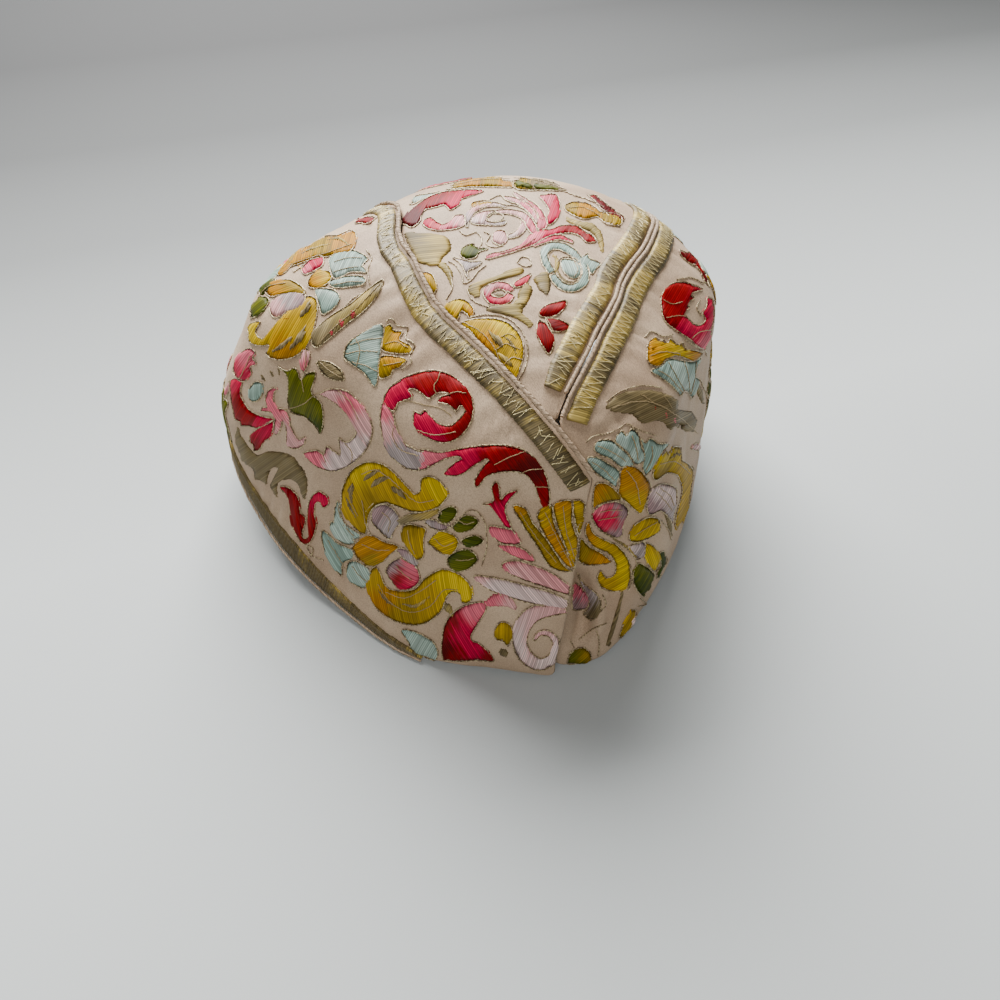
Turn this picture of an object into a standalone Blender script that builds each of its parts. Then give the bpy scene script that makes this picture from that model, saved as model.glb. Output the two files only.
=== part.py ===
"""A soft embroidered silk cap: a crown gore and two side pieces with metal-thread bands, standing on its hem."""

from bisect import bisect_right
from math import atan2, cos, degrees, exp, hypot, pi, radians, sin

import bmesh
import bpy
from mathutils import Vector

for old in list(bpy.data.objects):
    bpy.data.objects.remove(old, do_unlink=True)

# Driving dimensions in metres
CAP_REACH = 0.078
CAP_HEIGHT = 0.079
CLOTH = 0.0016
PIECE_GAP = 0.0003
SLIT_WIDTH = 0.0006
BAND_THICKNESS = 0.0008
SEAM_BAND_WIDTH = 0.0044
HEM_BAND_WIDTH = 0.0048
BAND_INSET = 0.0014
PLEAT_DEPTH = 0.0075
PLEAT_WIDTH = 0.015
PLEAT_LINE = 0.013
CREASE_DEPTH = 0.0016
UNDERLAP = 0.005
NARROWEST_BAND = 0.0008
HEM_BAND_INSET = 0.0006
BAND_END_GAP = 0.0012

# Faces along and up each panel
SIDE_COLUMNS = 34
SIDE_ROWS = 17
COVERED_SEAM_ROWS = 4
SLIT_MOUTH_ROWS = 1
GORE_COLUMNS = 14
GORE_ROWS = 28
SEAM_BAND_STEPS = 36
HEM_BAND_STEPS = 24
BAND_STEPS_ACROSS = 2

# The cap seen from above. Azimuth is in degrees from the nape towards the wearer's right hand.
# Hem, belly and fullness are shares of CAP_REACH, and lift is a share of CAP_HEIGHT.
ROUND_COLUMNS = ("azimuth", "hem", "belly", "fullness", "lift")
ROUND = (
    (-75, 0.83, 0.74, 0.05, 0.100),
    (-45, 0.84, 0.72, 0.02, 0.025),
    (-25, 0.93, 0.84, 0.00, 0.010),
    (-10, 0.98, 0.98, 0.00, 0.025),
    (3, 1.05, 1.01, 0.00, 0.000),
    (20, 0.98, 0.98, 0.00, 0.050),
    (45, 0.91, 0.85, 0.01, 0.180),
    (75, 0.90, 0.91, 0.035, 0.210),
    (100, 0.95, 0.97, -0.005, 0.180),
    (130, 0.97, 1.00, 0.00, 0.100),
    (150, 0.98, 1.01, 0.01, 0.000),
    (180, 0.97, 0.95, -0.01, 0.000),
    (210, 0.95, 0.88, -0.03, 0.000),
    (230, 0.95, 0.90, -0.01, 0.100),
    (255, 0.91, 0.90, 0.02, 0.200),
)

# The cap's side line, from the hem to the top of the crown. Level is the share of the way up the cloth,
# reach a share of the belly's reach and rise a share of CAP_HEIGHT.
SIDE_LINE_COLUMNS = ("level", "reach", "rise")
SIDE_LINE = (
    (0.00, 1.00, 0.00),
    (0.20, 1.00, 0.29),
    (0.40, 0.91, 0.59),
    (0.60, 0.80, 0.81),
    (0.80, 0.45, 0.97),
    (1.00, 0.00, 1.00),
)

# The hem's own reach dies out at the belly's level and its lift at a higher one.
# Fullness and the crown's shift start at levels of their own.
BELLY_LEVEL = 0.25
LIFT_LEVEL = 0.50
FULLNESS_LEVEL = 0.20
SHIFT_LEVEL = 0.10

# How far the top of the crown lies from the middle of the hem, as shares of CAP_REACH
CROWN_SHIFT = (0.13, -0.04)

# Points of the cloth are marked on a round pattern: the crown's top is its middle and the hem its rim.
# A mark is (across, ahead), in shares of the pattern's radius, with ahead towards the forehead.
# The left seam's first marks lie under the left side, and the slit's first mark is its mouth at the nape.
COVERED_SEAM = (
    (0.030, -0.470),
    (0.000, -0.405),
    (-0.016, -0.368),
)
OPEN_SEAM = (
    (-0.025, -0.350),
    (-0.076, -0.260),
    (-0.114, -0.217),
    (-0.157, -0.156),
    (-0.163, -0.082),
    (-0.147, 0.005),
    (-0.134, 0.080),
    (-0.122, 0.188),
    (-0.135, 0.380),
    (-0.185, 0.640),
)
LEFT_SEAM_FOOT = 197
SLIT_MOUTH = (
    (-0.016, -0.345),
)
SLIT = (
    (0.001, -0.314),
    (0.039, -0.265),
    (0.075, -0.222),
    (0.126, -0.186),
    (0.165, -0.150),
    (0.193, -0.107),
    (0.230, -0.050),
    (0.300, 0.040),
    (0.415, 0.240),
    (0.570, 0.460),
)
SLIT_FOOT = 131
NAPE_EDGE = (
    (-0.012, -1.000),
    (-0.004, -0.915),
    (0.007, -0.850),
    (0.015, -0.772),
    (0.021, -0.704),
    (0.026, -0.600),
    (0.028, -0.510),
    (0.030, -0.470),
)

# Azimuths where the hem's borders start, on either side of the nape
HEM_BAND_START_LEFT = -26
HEM_BAND_START_RIGHT = 80

# How deep the tuck at the nape is at each level, as a share of PLEAT_DEPTH
PLEAT_COLUMNS = ("level", "share")
PLEAT = (
    (0.00, 0.45),
    (0.10, 0.85),
    (0.20, 1.00),
    (0.32, 0.70),
    (0.48, 0.00),
    (1.00, 0.00),
)
# The right side reaches under the left where the tuck is deeper than this share of PLEAT_DEPTH
UNDERLAP_FROM = 0.45

# Creases of the cloth. Across, ahead, length and width are shares of the pattern's radius,
# turn is in degrees from across, and depth is a share of CREASE_DEPTH.
CREASE_COLUMNS = ("across", "ahead", "length", "width", "turn", "depth")
CREASES = (
    (-0.270, -0.160, 0.060, 0.030, -6, 1.0),
    (-0.340, -0.250, 0.080, 0.045, 28, 0.6),
    (-0.120, -0.640, 0.060, 0.160, 12, 0.9),
    (0.270, -0.520, 0.060, 0.130, -24, 0.9),
)


def table_value(rows, column, at, turn=None):
    """Smooth value of a table's column; a table with a turn joins its last row to its first."""
    keys = [row[0] for row in rows]
    values = [row[column] for row in rows]
    if turn:
        at = (at - keys[0]) % turn + keys[0]
        keys = [key - turn for key in keys[-2:]] + keys + [key + turn for key in keys[:2]]
        values = values[-2:] + values + values[:2]
    slot = min(max(bisect_right(keys, at) - 1, 0), len(keys) - 2)
    span = keys[slot + 1] - keys[slot]
    share = min(max((at - keys[slot]) / span, 0.0), 1.0)
    start = row_slope(keys, values, slot) * span
    end = row_slope(keys, values, slot + 1) * span
    square = share * share
    cube = square * share
    return (
        (2 * cube - 3 * square + 1) * values[slot]
        + (cube - 2 * square + share) * start
        + (3 * square - 2 * cube) * values[slot + 1]
        + (cube - square) * end
    )


def row_slope(keys, values, row):
    """Slope of a table's smooth line at one of its rows; the two end rows run level."""
    if row == 0 or row == len(keys) - 1:
        return 0.0
    before = keys[row] - keys[row - 1]
    after = keys[row + 1] - keys[row]
    rise_before = (values[row] - values[row - 1]) / before
    rise_after = (values[row + 1] - values[row]) / after
    return (rise_before * after + rise_after * before) / (before + after)


def round_value(name, azimuth):
    """Value of one column of the plan table at an azimuth."""
    return table_value(ROUND, ROUND_COLUMNS.index(name), azimuth, turn=360)


def side_value(name, level):
    """Value of one column of the side line at a level. The line runs on past the hem and over the top."""
    low = SIDE_LINE[1]
    high = SIDE_LINE[-2]
    below = (-low[0], low[1], -low[2])
    beyond = (2 * SIDE_LINE[-1][0] - high[0], -high[1], high[2])
    return table_value((below, *SIDE_LINE, beyond), SIDE_LINE_COLUMNS.index(name), level)


def ease(share):
    """Soft step from 0 to 1."""
    share = min(max(share, 0.0), 1.0)
    return share * share * (3 - 2 * share)


def share_above(start, level):
    """How far a level lies on the way from a starting level to the top, 0 below the start."""
    return max((level - start) / (1.0 - start), 0.0)


def cap_surface(across, ahead):
    """The outer face of the smooth cap at a mark of the round pattern."""
    level = 1.0 - min(hypot(across, ahead), 1.0)
    azimuth = degrees(atan2(across, -ahead))
    hem = CAP_REACH * round_value("hem", azimuth)
    belly = CAP_REACH * round_value("belly", azimuth)
    lift = CAP_HEIGHT * max(round_value("lift", azimuth), 0.0)
    lean = (hem - belly) * max(1.0 - level / BELLY_LEVEL, 0.0) ** 2
    full = round_value("fullness", azimuth) * sin(pi * share_above(FULLNESS_LEVEL, level)) ** 2
    reach = belly * (side_value("reach", level) + full) + lean
    height = CAP_HEIGHT * side_value("rise", level) + lift * (1.0 - ease(level / LIFT_LEVEL))
    shift = CAP_REACH * ease(share_above(SHIFT_LEVEL, level))
    turn = radians(azimuth)
    return Vector((
        reach * sin(turn) + CROWN_SHIFT[0] * shift,
        -reach * cos(turn) + CROWN_SHIFT[1] * shift,
        height,
    ))


def outward(across, ahead):
    """Unit vector out of the cloth; it runs level at the hem, so that the hem's foot is flat."""
    step = 0.004
    radius = hypot(across, ahead)
    if radius > 1.0 - step:
        across *= (1.0 - step) / radius
        ahead *= (1.0 - step) / radius
    side = cap_surface(across + step, ahead) - cap_surface(across - step, ahead)
    front = cap_surface(across, ahead + step) - cap_surface(across, ahead - step)
    out = side.cross(front).normalized()
    out.z *= ease((1.0 - radius) / (0.5 * BELLY_LEVEL))
    return out.normalized()


def crease_depth(across, ahead):
    """How far the creases and soft dents sink the cloth at a mark."""
    depth = 0.0
    for row in CREASES:
        crease = dict(zip(CREASE_COLUMNS, row))
        turn = radians(crease["turn"])
        east = across - crease["across"]
        north = ahead - crease["ahead"]
        along = (east * cos(turn) + north * sin(turn)) / crease["length"]
        beside = (north * cos(turn) - east * sin(turn)) / crease["width"]
        depth += crease["depth"] * CREASE_DEPTH * exp(-along * along - beside * beside)
    return depth


def pleat_share(level):
    """Depth of the tuck at a level, as a share of PLEAT_DEPTH."""
    return max(table_value(PLEAT, PLEAT_COLUMNS.index("share"), level), 0.0)


def pleat_depth(across, ahead):
    """How far the right side's cloth dives at the nape, deepest at the edge that covers it."""
    if ahead > 0:
        return 0.0
    away = (across - PLEAT_LINE) * CAP_REACH / PLEAT_WIDTH
    return PLEAT_DEPTH * pleat_share(1.0 - hypot(across, ahead)) * (1.0 - ease(away))


def no_pleat(across, ahead):
    """The crown and the left side have no tuck."""
    return 0.0


def wrap(mark, height, tuck):
    """Lay a mark of the flat pattern on the cap, height above the cloth's outer face."""
    across, ahead = mark
    sink = crease_depth(across, ahead) * ease((1.0 - hypot(across, ahead)) / BELLY_LEVEL) + tuck(across, ahead)
    return cap_surface(across, ahead) + outward(across, ahead) * (height - sink)


def smooth_path(marks, start, end, count):
    """Evenly spaced marks on a smooth line through all the given ones, between two of them."""
    lengths = [0.0]
    for near, far in zip(marks, marks[1:]):
        lengths.append(lengths[-1] + hypot(far[0] - near[0], far[1] - near[1]))
    rows = free_ends([(length, *mark) for length, mark in zip(lengths, marks)])
    path = []
    for step in range(count + 1):
        at = lengths[start] + (lengths[end] - lengths[start]) * step / count
        path.append((table_value(rows, 1, at), table_value(rows, 2, at)))
    return path


def free_ends(rows):
    """Rows with one more before and after, so that a path leaves its ends straight."""
    first = tuple(2 * one - two for one, two in zip(rows[0], rows[1]))
    last = tuple(2 * one - two for one, two in zip(rows[-1], rows[-2]))
    return [first, *rows, last]


def rim_mark(azimuth, rise=0.0):
    """Mark at an azimuth, on the hem or a real distance up the cloth from it."""
    across = sin(radians(azimuth))
    ahead = -cos(radians(azimuth))
    probe = 0.04
    probed = cap_surface(across, ahead) - cap_surface(across * (1 - probe), ahead * (1 - probe))
    radius = 1.0 - rise * probe / probed.length
    return (across * radius, ahead * radius)


def rim_path(start, end, count, rise=0.0):
    """Marks along the hem between two azimuths."""
    return [rim_mark(start + (end - start) * step / count, rise) for step in range(count + 1)]


def moved_beside(path, distances):
    """A path moved sideways by real distances, one for each mark, to the right of its run."""
    moved = []
    probe = 0.004
    for place, (mark, distance) in enumerate(zip(path, distances)):
        before = path[max(place - 1, 0)]
        after = path[min(place + 1, len(path) - 1)]
        run = Vector((after[0] - before[0], after[1] - before[1])).normalized()
        side = Vector((run.y, -run.x))
        reached = cap_surface(mark[0] - side.x * probe, mark[1] - side.y * probe)
        step = distance * probe / (cap_surface(*mark) - reached).length
        moved.append((mark[0] + side.x * step, mark[1] + side.y * step))
    return moved


def evenly_beside(path, distance):
    """A path moved sideways by one real distance."""
    return moved_beside(path, [distance] * len(path))


def on_hem(mark):
    """The mark pushed out or in to the hem."""
    radius = hypot(*mark)
    return (mark[0] / radius, mark[1] / radius)


def hem_azimuth(mark):
    """Azimuth of a mark, in degrees from the nape, from -90 up to 270."""
    return (degrees(atan2(mark[0], -mark[1])) + 90) % 360 - 90


def straight_path(start, end, count):
    """Evenly spaced marks between two marks."""
    return [
        tuple(near + (far - near) * step / count for near, far in zip(start, end)) for step in range(count + 1)
    ]


def patch(bottom, top, first, last):
    """Marks of a four-sided panel filled in between its four edges, as rows from bottom to top."""
    columns = len(bottom) - 1
    rows = len(first) - 1
    grid = []
    for up in range(rows + 1):
        rise = up / rows
        line = []
        for along in range(columns + 1):
            run = along / columns
            line.append(tuple(
                (1 - rise) * bottom[along][axis] + rise * top[along][axis]
                + (1 - run) * first[up][axis] + run * last[up][axis]
                - (1 - run) * ((1 - rise) * bottom[0][axis] + rise * top[0][axis])
                - run * ((1 - rise) * bottom[-1][axis] + rise * top[-1][axis])
                for axis in (0, 1)
            ))
        grid.append(line)
    return grid


def cloth_piece(name, grid, foot, thickness, finish, tuck=no_pleat):
    """Cut a piece flat from its grid of marks, give it thickness and wrap it on the cap."""
    form = bmesh.new()
    rows = len(grid)
    columns = len(grid[0])
    bmesh.ops.create_grid(form, x_segments=columns - 1, y_segments=rows - 1, size=0.5)
    form.verts.ensure_lookup_table()
    for vertex in form.verts:
        column = round((vertex.co.x + 0.5) * (columns - 1))
        row = round((vertex.co.y + 0.5) * (rows - 1))
        vertex.co = (*grid[row][column], foot)
    top = bmesh.ops.extrude_face_region(form, geom=form.faces[:], use_keep_orig=True)
    raised = [part for part in top["geom"] if isinstance(part, bmesh.types.BMVert)]
    bmesh.ops.translate(form, verts=raised, vec=(0.0, 0.0, thickness))
    for vertex in form.verts:
        vertex.co = wrap((vertex.co.x, vertex.co.y), vertex.co.z, tuck)
    bmesh.ops.recalc_face_normals(form, faces=form.faces[:])
    if form.calc_volume(signed=True) < 0:
        bmesh.ops.reverse_faces(form, faces=form.faces[:])
    mesh = bpy.data.meshes.new(name)
    form.to_mesh(mesh)
    form.free()
    mesh.shade_smooth()
    mesh.set_sharp_from_angle(angle=radians(50))
    mesh.materials.append(finish)
    piece = bpy.data.objects.new(name, mesh)
    bpy.context.scene.collection.objects.link(piece)
    return piece


def strip(name, path, inner, outer, finish):
    """A flat band laid on the cloth, between two distances from a path at each of its marks."""
    lines = []
    for step in range(BAND_STEPS_ACROSS + 1):
        share = step / BAND_STEPS_ACROSS
        distances = [near + (far - near) * share for near, far in zip(inner, outer)]
        lines.append(moved_beside(path, distances))
    return cloth_piece(name, lines, PIECE_GAP, BAND_THICKNESS, finish)


def hem_strip(name, start, end, finish):
    """A narrow border on the cloth just above the hem, between two azimuths."""
    lines = []
    for step in range(BAND_STEPS_ACROSS + 1):
        rise = HEM_BAND_INSET + HEM_BAND_WIDTH * step / BAND_STEPS_ACROSS
        lines.append(rim_path(start, end, HEM_BAND_STEPS, rise))
    return cloth_piece(name, lines, PIECE_GAP, BAND_THICKNESS, finish)


def room_beside(path, fence, wanted, spare):
    """Width that a band may take at each mark, short of a fence line by a spare distance."""
    widths = []
    for mark in path:
        here = cap_surface(*mark)
        nearest = min((cap_surface(*post) - here).length for post in fence)
        widths.append(max(min(wanted, nearest - spare), NARROWEST_BAND))
    return widths


def cloth_finish(name, colour, roughness, metallic):
    """A plain finish for one kind of cloth or thread."""
    finish = bpy.data.materials.new(name)
    finish.use_nodes = True
    shader = finish.node_tree.nodes["Principled BSDF"]
    shader.inputs["Base Color"].default_value = (*colour, 1.0)
    shader.inputs["Roughness"].default_value = roughness
    shader.inputs["Metallic"].default_value = metallic
    return finish


silk = cloth_finish("silk_satin", (0.50, 0.40, 0.33), 0.6, 0.0)
seam_thread = cloth_finish("seam_metal_thread", (0.42, 0.36, 0.18), 0.45, 0.5)
hem_thread = cloth_finish("hem_metal_thread", (0.20, 0.16, 0.08), 0.5, 0.4)

# The seam lines run from the nape to the hem at the forehead
left_line = (*COVERED_SEAM, *OPEN_SEAM, rim_mark(LEFT_SEAM_FOOT))
slit_line = (*SLIT_MOUTH, *SLIT, rim_mark(SLIT_FOOT))
crown_point = len(COVERED_SEAM)
half_gap = PIECE_GAP / 2
half_slit = SLIT_WIDTH / 2

# The left side: hem, folded edge over the crown, nape edge and the stretch down to the forehead hem
left_top = evenly_beside(smooth_path(left_line, 0, -2, SIDE_COLUMNS), -half_gap)
left_front = evenly_beside(smooth_path(left_line, -2, -1, SIDE_ROWS), -half_gap)[::-1]
left_nape = evenly_beside(smooth_path(NAPE_EDGE, 0, -1, SIDE_ROWS), -half_gap)
left_front[0] = on_hem(left_front[0])
left_nape[0] = on_hem(left_nape[0])
left_front[-1] = left_top[-1]
left_nape[-1] = left_top[0]
left_hem = rim_path(hem_azimuth(left_nape[0]), hem_azimuth(left_front[0]) - 360, SIDE_COLUMNS)
cloth_piece("left_side", patch(left_hem, left_top, left_nape, left_front), -CLOTH, CLOTH, silk)

# The right side: its edge at the nape dives under the left side, and its top runs along the slit
right_top = evenly_beside(smooth_path(slit_line, 0, -2, SIDE_COLUMNS), half_slit)
right_front = evenly_beside(smooth_path(slit_line, -2, -1, SIDE_ROWS), half_slit)[::-1]
right_front[0] = on_hem(right_front[0])
right_front[-1] = right_top[-1]
covered = smooth_path(NAPE_EDGE, 0, -1, SIDE_ROWS - COVERED_SEAM_ROWS - SLIT_MOUTH_ROWS)
tucked_under = [half_gap - UNDERLAP * ease(pleat_share(1 - hypot(*mark)) / UNDERLAP_FROM - 1) for mark in covered]
right_nape = moved_beside(covered, tucked_under)
right_nape[0] = on_hem(right_nape[0])
right_nape += evenly_beside(smooth_path(left_line, 0, crown_point - 1, COVERED_SEAM_ROWS), half_gap)[1:]
right_nape += straight_path(right_nape[-1], right_top[0], SLIT_MOUTH_ROWS)[1:]
right_hem = rim_path(hem_azimuth(right_nape[0]), hem_azimuth(right_front[0]), SIDE_COLUMNS)
cloth_piece(
    "right_side", patch(right_hem, right_top, right_nape, right_front), -CLOTH, CLOTH, silk, pleat_depth
)

# The crown gore: from its point between the two sides over the top to the forehead hem
gore_left = evenly_beside(smooth_path(left_line, crown_point, -1, GORE_ROWS), half_gap)
gore_right = evenly_beside(smooth_path(slit_line, 0, -1, GORE_ROWS), -half_slit)
gore_left[-1] = on_hem(gore_left[-1])
gore_right[-1] = on_hem(gore_right[-1])
gore_point = straight_path(gore_left[0], gore_right[0], GORE_COLUMNS)
gore_hem = rim_path(hem_azimuth(gore_left[-1]), hem_azimuth(gore_right[-1]), GORE_COLUMNS)
cloth_piece("crown_gore", patch(gore_point, gore_hem, gore_left, gore_right), -CLOTH, CLOTH, silk)

# Bands of metal thread along the seams
band_run = smooth_path(left_line, 0, -1, SEAM_BAND_STEPS)[:-1]
edge = [-half_gap - BAND_INSET] * len(band_run)
far_edge = [near - SEAM_BAND_WIDTH for near in edge]
strip("left_seam_band", band_run, edge, far_edge, seam_thread)

band_run = smooth_path(slit_line, 0, -1, SEAM_BAND_STEPS)[:-1]
edge = [half_slit + BAND_INSET] * len(band_run)
far_edge = [near + SEAM_BAND_WIDTH for near in edge]
strip("right_seam_band", band_run, edge, far_edge, seam_thread)

band_run = smooth_path(slit_line, len(SLIT_MOUTH), -1, SEAM_BAND_STEPS)[:-1]
edge = [-half_slit - BAND_INSET] * len(band_run)
fence = smooth_path(left_line, crown_point, -1, 3 * SEAM_BAND_STEPS)
widths = room_beside(band_run, fence, SEAM_BAND_WIDTH, half_slit + 2 * BAND_INSET)
far_edge = [near - width for near, width in zip(edge, widths)]
strip("crown_seam_band", band_run, edge, far_edge, seam_thread)

# Narrow borders on the hem, each clear of the seam lines and of the bands that come down beside them
past_band = degrees((half_slit + BAND_INSET + SEAM_BAND_WIDTH + BAND_END_GAP) / CAP_REACH)
past_seam = degrees((half_gap + BAND_END_GAP) / CAP_REACH)
hem_strip("left_hem_band", HEM_BAND_START_LEFT, LEFT_SEAM_FOOT - 360 + past_band, hem_thread)
hem_strip("right_hem_band", HEM_BAND_START_RIGHT, SLIT_FOOT - past_band, hem_thread)
hem_strip("crown_hem_band", SLIT_FOOT + past_band, LEFT_SEAM_FOOT - past_seam, hem_thread)

# Stand the cap on its hem, with the middle of its box over the origin
places = [vertex.co for piece in bpy.data.objects for vertex in piece.data.vertices]
low = [min(axis) for axis in zip(*places)]
high = [max(axis) for axis in zip(*places)]
for piece in bpy.data.objects:
    piece.location = (-(low[0] + high[0]) / 2, -(low[1] + high[1]) / 2, -low[2])
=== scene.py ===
"""A small embroidered silk cap: cloth, metal-thread bands and silk needlework, seen from above its nape."""

import random
from math import cos, exp, hypot, pi, radians, sin

import bmesh
import bpy
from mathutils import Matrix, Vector, noise
from mathutils.bvhtree import BVHTree
from mathutils.kdtree import KDTree


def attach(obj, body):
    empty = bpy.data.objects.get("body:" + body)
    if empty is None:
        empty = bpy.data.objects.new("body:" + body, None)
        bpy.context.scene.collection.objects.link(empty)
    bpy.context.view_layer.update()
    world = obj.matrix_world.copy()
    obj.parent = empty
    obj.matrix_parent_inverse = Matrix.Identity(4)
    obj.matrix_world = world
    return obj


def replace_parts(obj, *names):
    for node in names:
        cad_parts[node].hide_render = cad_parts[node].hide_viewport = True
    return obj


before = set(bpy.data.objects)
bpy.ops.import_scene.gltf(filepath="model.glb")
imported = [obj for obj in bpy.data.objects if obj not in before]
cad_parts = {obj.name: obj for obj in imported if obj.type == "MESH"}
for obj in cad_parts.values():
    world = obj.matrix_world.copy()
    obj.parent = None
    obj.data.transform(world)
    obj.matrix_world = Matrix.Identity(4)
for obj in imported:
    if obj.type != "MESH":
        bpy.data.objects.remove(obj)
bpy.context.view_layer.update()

MM = 0.001

# The camera stands behind the nape and looks down on the cap. Its place, its turn to the right and its
# dip below the horizon were measured from the photograph, which is 1000 pixels square.
PHOTO_SIZE = 1000
CAMERA_PLACE = Vector((-46.2 * MM, -164.6 * MM, 171 * MM))
CAMERA_TURN = radians(18)
CAMERA_DIP = radians(47.5)
SENSOR = 36.0
PIXELS_PER_FOCAL_LENGTH = 751

camera_data = bpy.data.cameras.new("camera")
camera_data.sensor_width = SENSOR
camera_data.lens = SENSOR * PIXELS_PER_FOCAL_LENGTH / PHOTO_SIZE
camera_data.clip_start = 0.01
camera = bpy.data.objects.new("camera", camera_data)
camera.location = CAMERA_PLACE
camera.rotation_euler = (pi / 2 - CAMERA_DIP, 0.0, -CAMERA_TURN)
bpy.context.scene.collection.objects.link(camera)
bpy.context.scene.camera = camera
CAMERA_AXES = camera.rotation_euler.to_matrix()


# The pale table top is a wide sheet of paper, darkened by painted shade with its distance behind the cap,
# where the light falls off. The painted shades are shares of its colour, each at a distance in metres.
TABLE_COLOUR = (0.53, 0.555, 0.545)
TABLE_PAINTED_SHADES = ((0.0, 0.85), (0.12, 0.48), (0.19, 0.27), (0.30, 0.10), (0.45, 0.025))
PAINTED_SHADE_TURN = radians(-2)
TABLE_SIZE = 3.2


def blank_material(name):
    """A new material, with its nodes, its links and its shader."""
    finish = bpy.data.materials.new(name)
    finish.use_nodes = True
    nodes = finish.node_tree.nodes
    return finish, nodes, finish.node_tree.links, nodes["Principled BSDF"]


def colour_ramp(nodes, stops):
    """A colour ramp with its stops, each (position, colour)."""
    ramp = nodes.new("ShaderNodeValToRGB")
    for position, colour in stops[1:-1]:
        ramp.color_ramp.elements.new(position)
    for element, (position, colour) in zip(ramp.color_ramp.elements, stops):
        element.position = position
        element.color = (*colour, 1)
    return ramp


def paper_with_painted_shade():
    """Matt paper with a faint cloudiness, darkened far behind the cap by painted shade."""
    finish, nodes, links, shader = blank_material("paper_with_painted_shade")
    place = nodes.new("ShaderNodeTexCoord")
    cloud = nodes.new("ShaderNodeTexNoise")
    cloud.inputs["Scale"].default_value = 3
    ramp = colour_ramp(nodes, [
        (0.0, [part * 0.97 for part in TABLE_COLOUR]),
        (1.0, [part * 1.03 for part in TABLE_COLOUR]),
    ])
    # Painted shade: the paper darkens with its distance behind the cap, along this turned direction.
    behind = nodes.new("ShaderNodeVectorMath")
    behind.operation = "DOT_PRODUCT"
    behind.inputs[1].default_value = (sin(PAINTED_SHADE_TURN), cos(PAINTED_SHADE_TURN), 0)
    shades = colour_ramp(nodes, [(distance, (share, share, share)) for distance, share in TABLE_PAINTED_SHADES])
    graded = nodes.new("ShaderNodeVectorMath")
    graded.operation = "MULTIPLY"
    links.new(place.outputs["Object"], cloud.inputs["Vector"])
    links.new(place.outputs["Object"], behind.inputs[0])
    links.new(cloud.outputs["Fac"], ramp.inputs["Fac"])
    links.new(behind.outputs["Value"], shades.inputs["Fac"])
    links.new(ramp.outputs["Color"], graded.inputs[0])
    links.new(shades.outputs["Color"], graded.inputs[1])
    links.new(graded.outputs["Vector"], shader.inputs["Base Color"])
    shader.inputs["Roughness"].default_value = 0.85
    return finish


sheet = bmesh.new()
bmesh.ops.create_grid(sheet, x_segments=1, y_segments=1, size=TABLE_SIZE / 2)
table_mesh = bpy.data.meshes.new("table_top")
sheet.to_mesh(table_mesh)
sheet.free()
table_mesh.materials.append(paper_with_painted_shade())
table_top = bpy.data.objects.new("table_top", table_mesh)
bpy.context.scene.collection.objects.link(table_top)


# Soft studio light. A wide lamp hangs above and behind the cap, a weak one stands in front of it, and the
# room is dim. Each lamp has its place, its size and its power.
LAMPS = (
    ("lamp_above", (0.03, 0.80, 0.70), 0.9, 59.0),
    ("lamp_front", (-0.35, -0.80, 0.80), 0.7, 5.3),
)
LAMP_AIM = Vector((0, 0, 30 * MM))
ROOM_COLOUR = (0.84, 0.85, 0.86)
ROOM_STRENGTH = 0.21

for lamp_name, lamp_place, lamp_size, lamp_power in LAMPS:
    lamp_data = bpy.data.lights.new(lamp_name, "AREA")
    lamp_data.size = lamp_size
    lamp_data.energy = lamp_power
    lamp = bpy.data.objects.new(lamp_name, lamp_data)
    lamp.location = lamp_place
    lamp.rotation_euler = (LAMP_AIM - lamp.location).to_track_quat("-Z", "Y").to_euler()
    bpy.context.scene.collection.objects.link(lamp)

room = bpy.data.worlds.new("room")
room.use_nodes = True
room.node_tree.nodes["Background"].inputs["Color"].default_value = (*ROOM_COLOUR, 1)
room.node_tree.nodes["Background"].inputs["Strength"].default_value = ROOM_STRENGTH
bpy.context.scene.world = room


# The silk of the cap: one gore for the crown and two sides, each a doubled layer of pinkish-beige satin
# turned in along its edges. Needlework has puckered it, and age has creased it.
CLOTH_NODES = ("crown_gore", "left_side", "right_side")
SUBDIVISIONS = 2
PUCKER_DEPTH = 0.25 * MM
PUCKER_SIZE = 7 * MM
SILK_LIGHT = (0.53, 0.39, 0.262)
SILK_DARK = (0.39, 0.27, 0.176)
WEAVE_SCALE = (5200, 1300, 5200)


def merged_copy(node):
    """A bmesh of a CAD node with its loose triangles merged, and joined again to four-sided faces."""
    form = bmesh.new()
    form.from_mesh(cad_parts[node].data)
    bmesh.ops.remove_doubles(form, verts=form.verts[:], dist=0.01 * MM)
    bmesh.ops.join_triangles(
        form, faces=form.faces[:], angle_face_threshold=radians(30), angle_shape_threshold=radians(50)
    )
    return form


def finished(form, name, material):
    """Turn a bmesh into a smooth-shaded piece that rides on the cap."""
    mesh = bpy.data.meshes.new(name)
    form.to_mesh(mesh)
    form.free()
    mesh.shade_smooth()
    mesh.materials.append(material)
    piece = bpy.data.objects.new(name, mesh)
    bpy.context.scene.collection.objects.link(piece)
    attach(piece, "root")
    return piece


def photo_sight(x, y):
    """Where the camera's line through a pixel of the photograph starts, and which way it runs."""
    middle = PHOTO_SIZE / 2
    across = (x - middle) / PIXELS_PER_FOCAL_LENGTH
    up = (middle - y) / PIXELS_PER_FOCAL_LENGTH
    return CAMERA_PLACE, (CAMERA_AXES @ Vector((across, up, -1))).normalized()


def landing(trees, sight, x, y, reach=1.0):
    """Point and normal of the cloth under a drawn point, and how far the line of sight ran to it.
    Trees are the surfaces to land on, such as the cloth and the fills already worked on it. Where the
    line misses them all, their nearest place to its end at that reach is taken."""
    start, way = sight(x, y)
    best = None
    for tree in trees:
        point, normal, index, distance = tree.ray_cast(start, way)
        if point is None or normal.dot(way) > 0:
            continue
        if best is None or distance < best[2]:
            best = point, normal, distance
    if best is None:
        point, normal, index, distance = trees[0].find_nearest(start + way * reach)
        best = point, normal, reach
    return best


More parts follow.
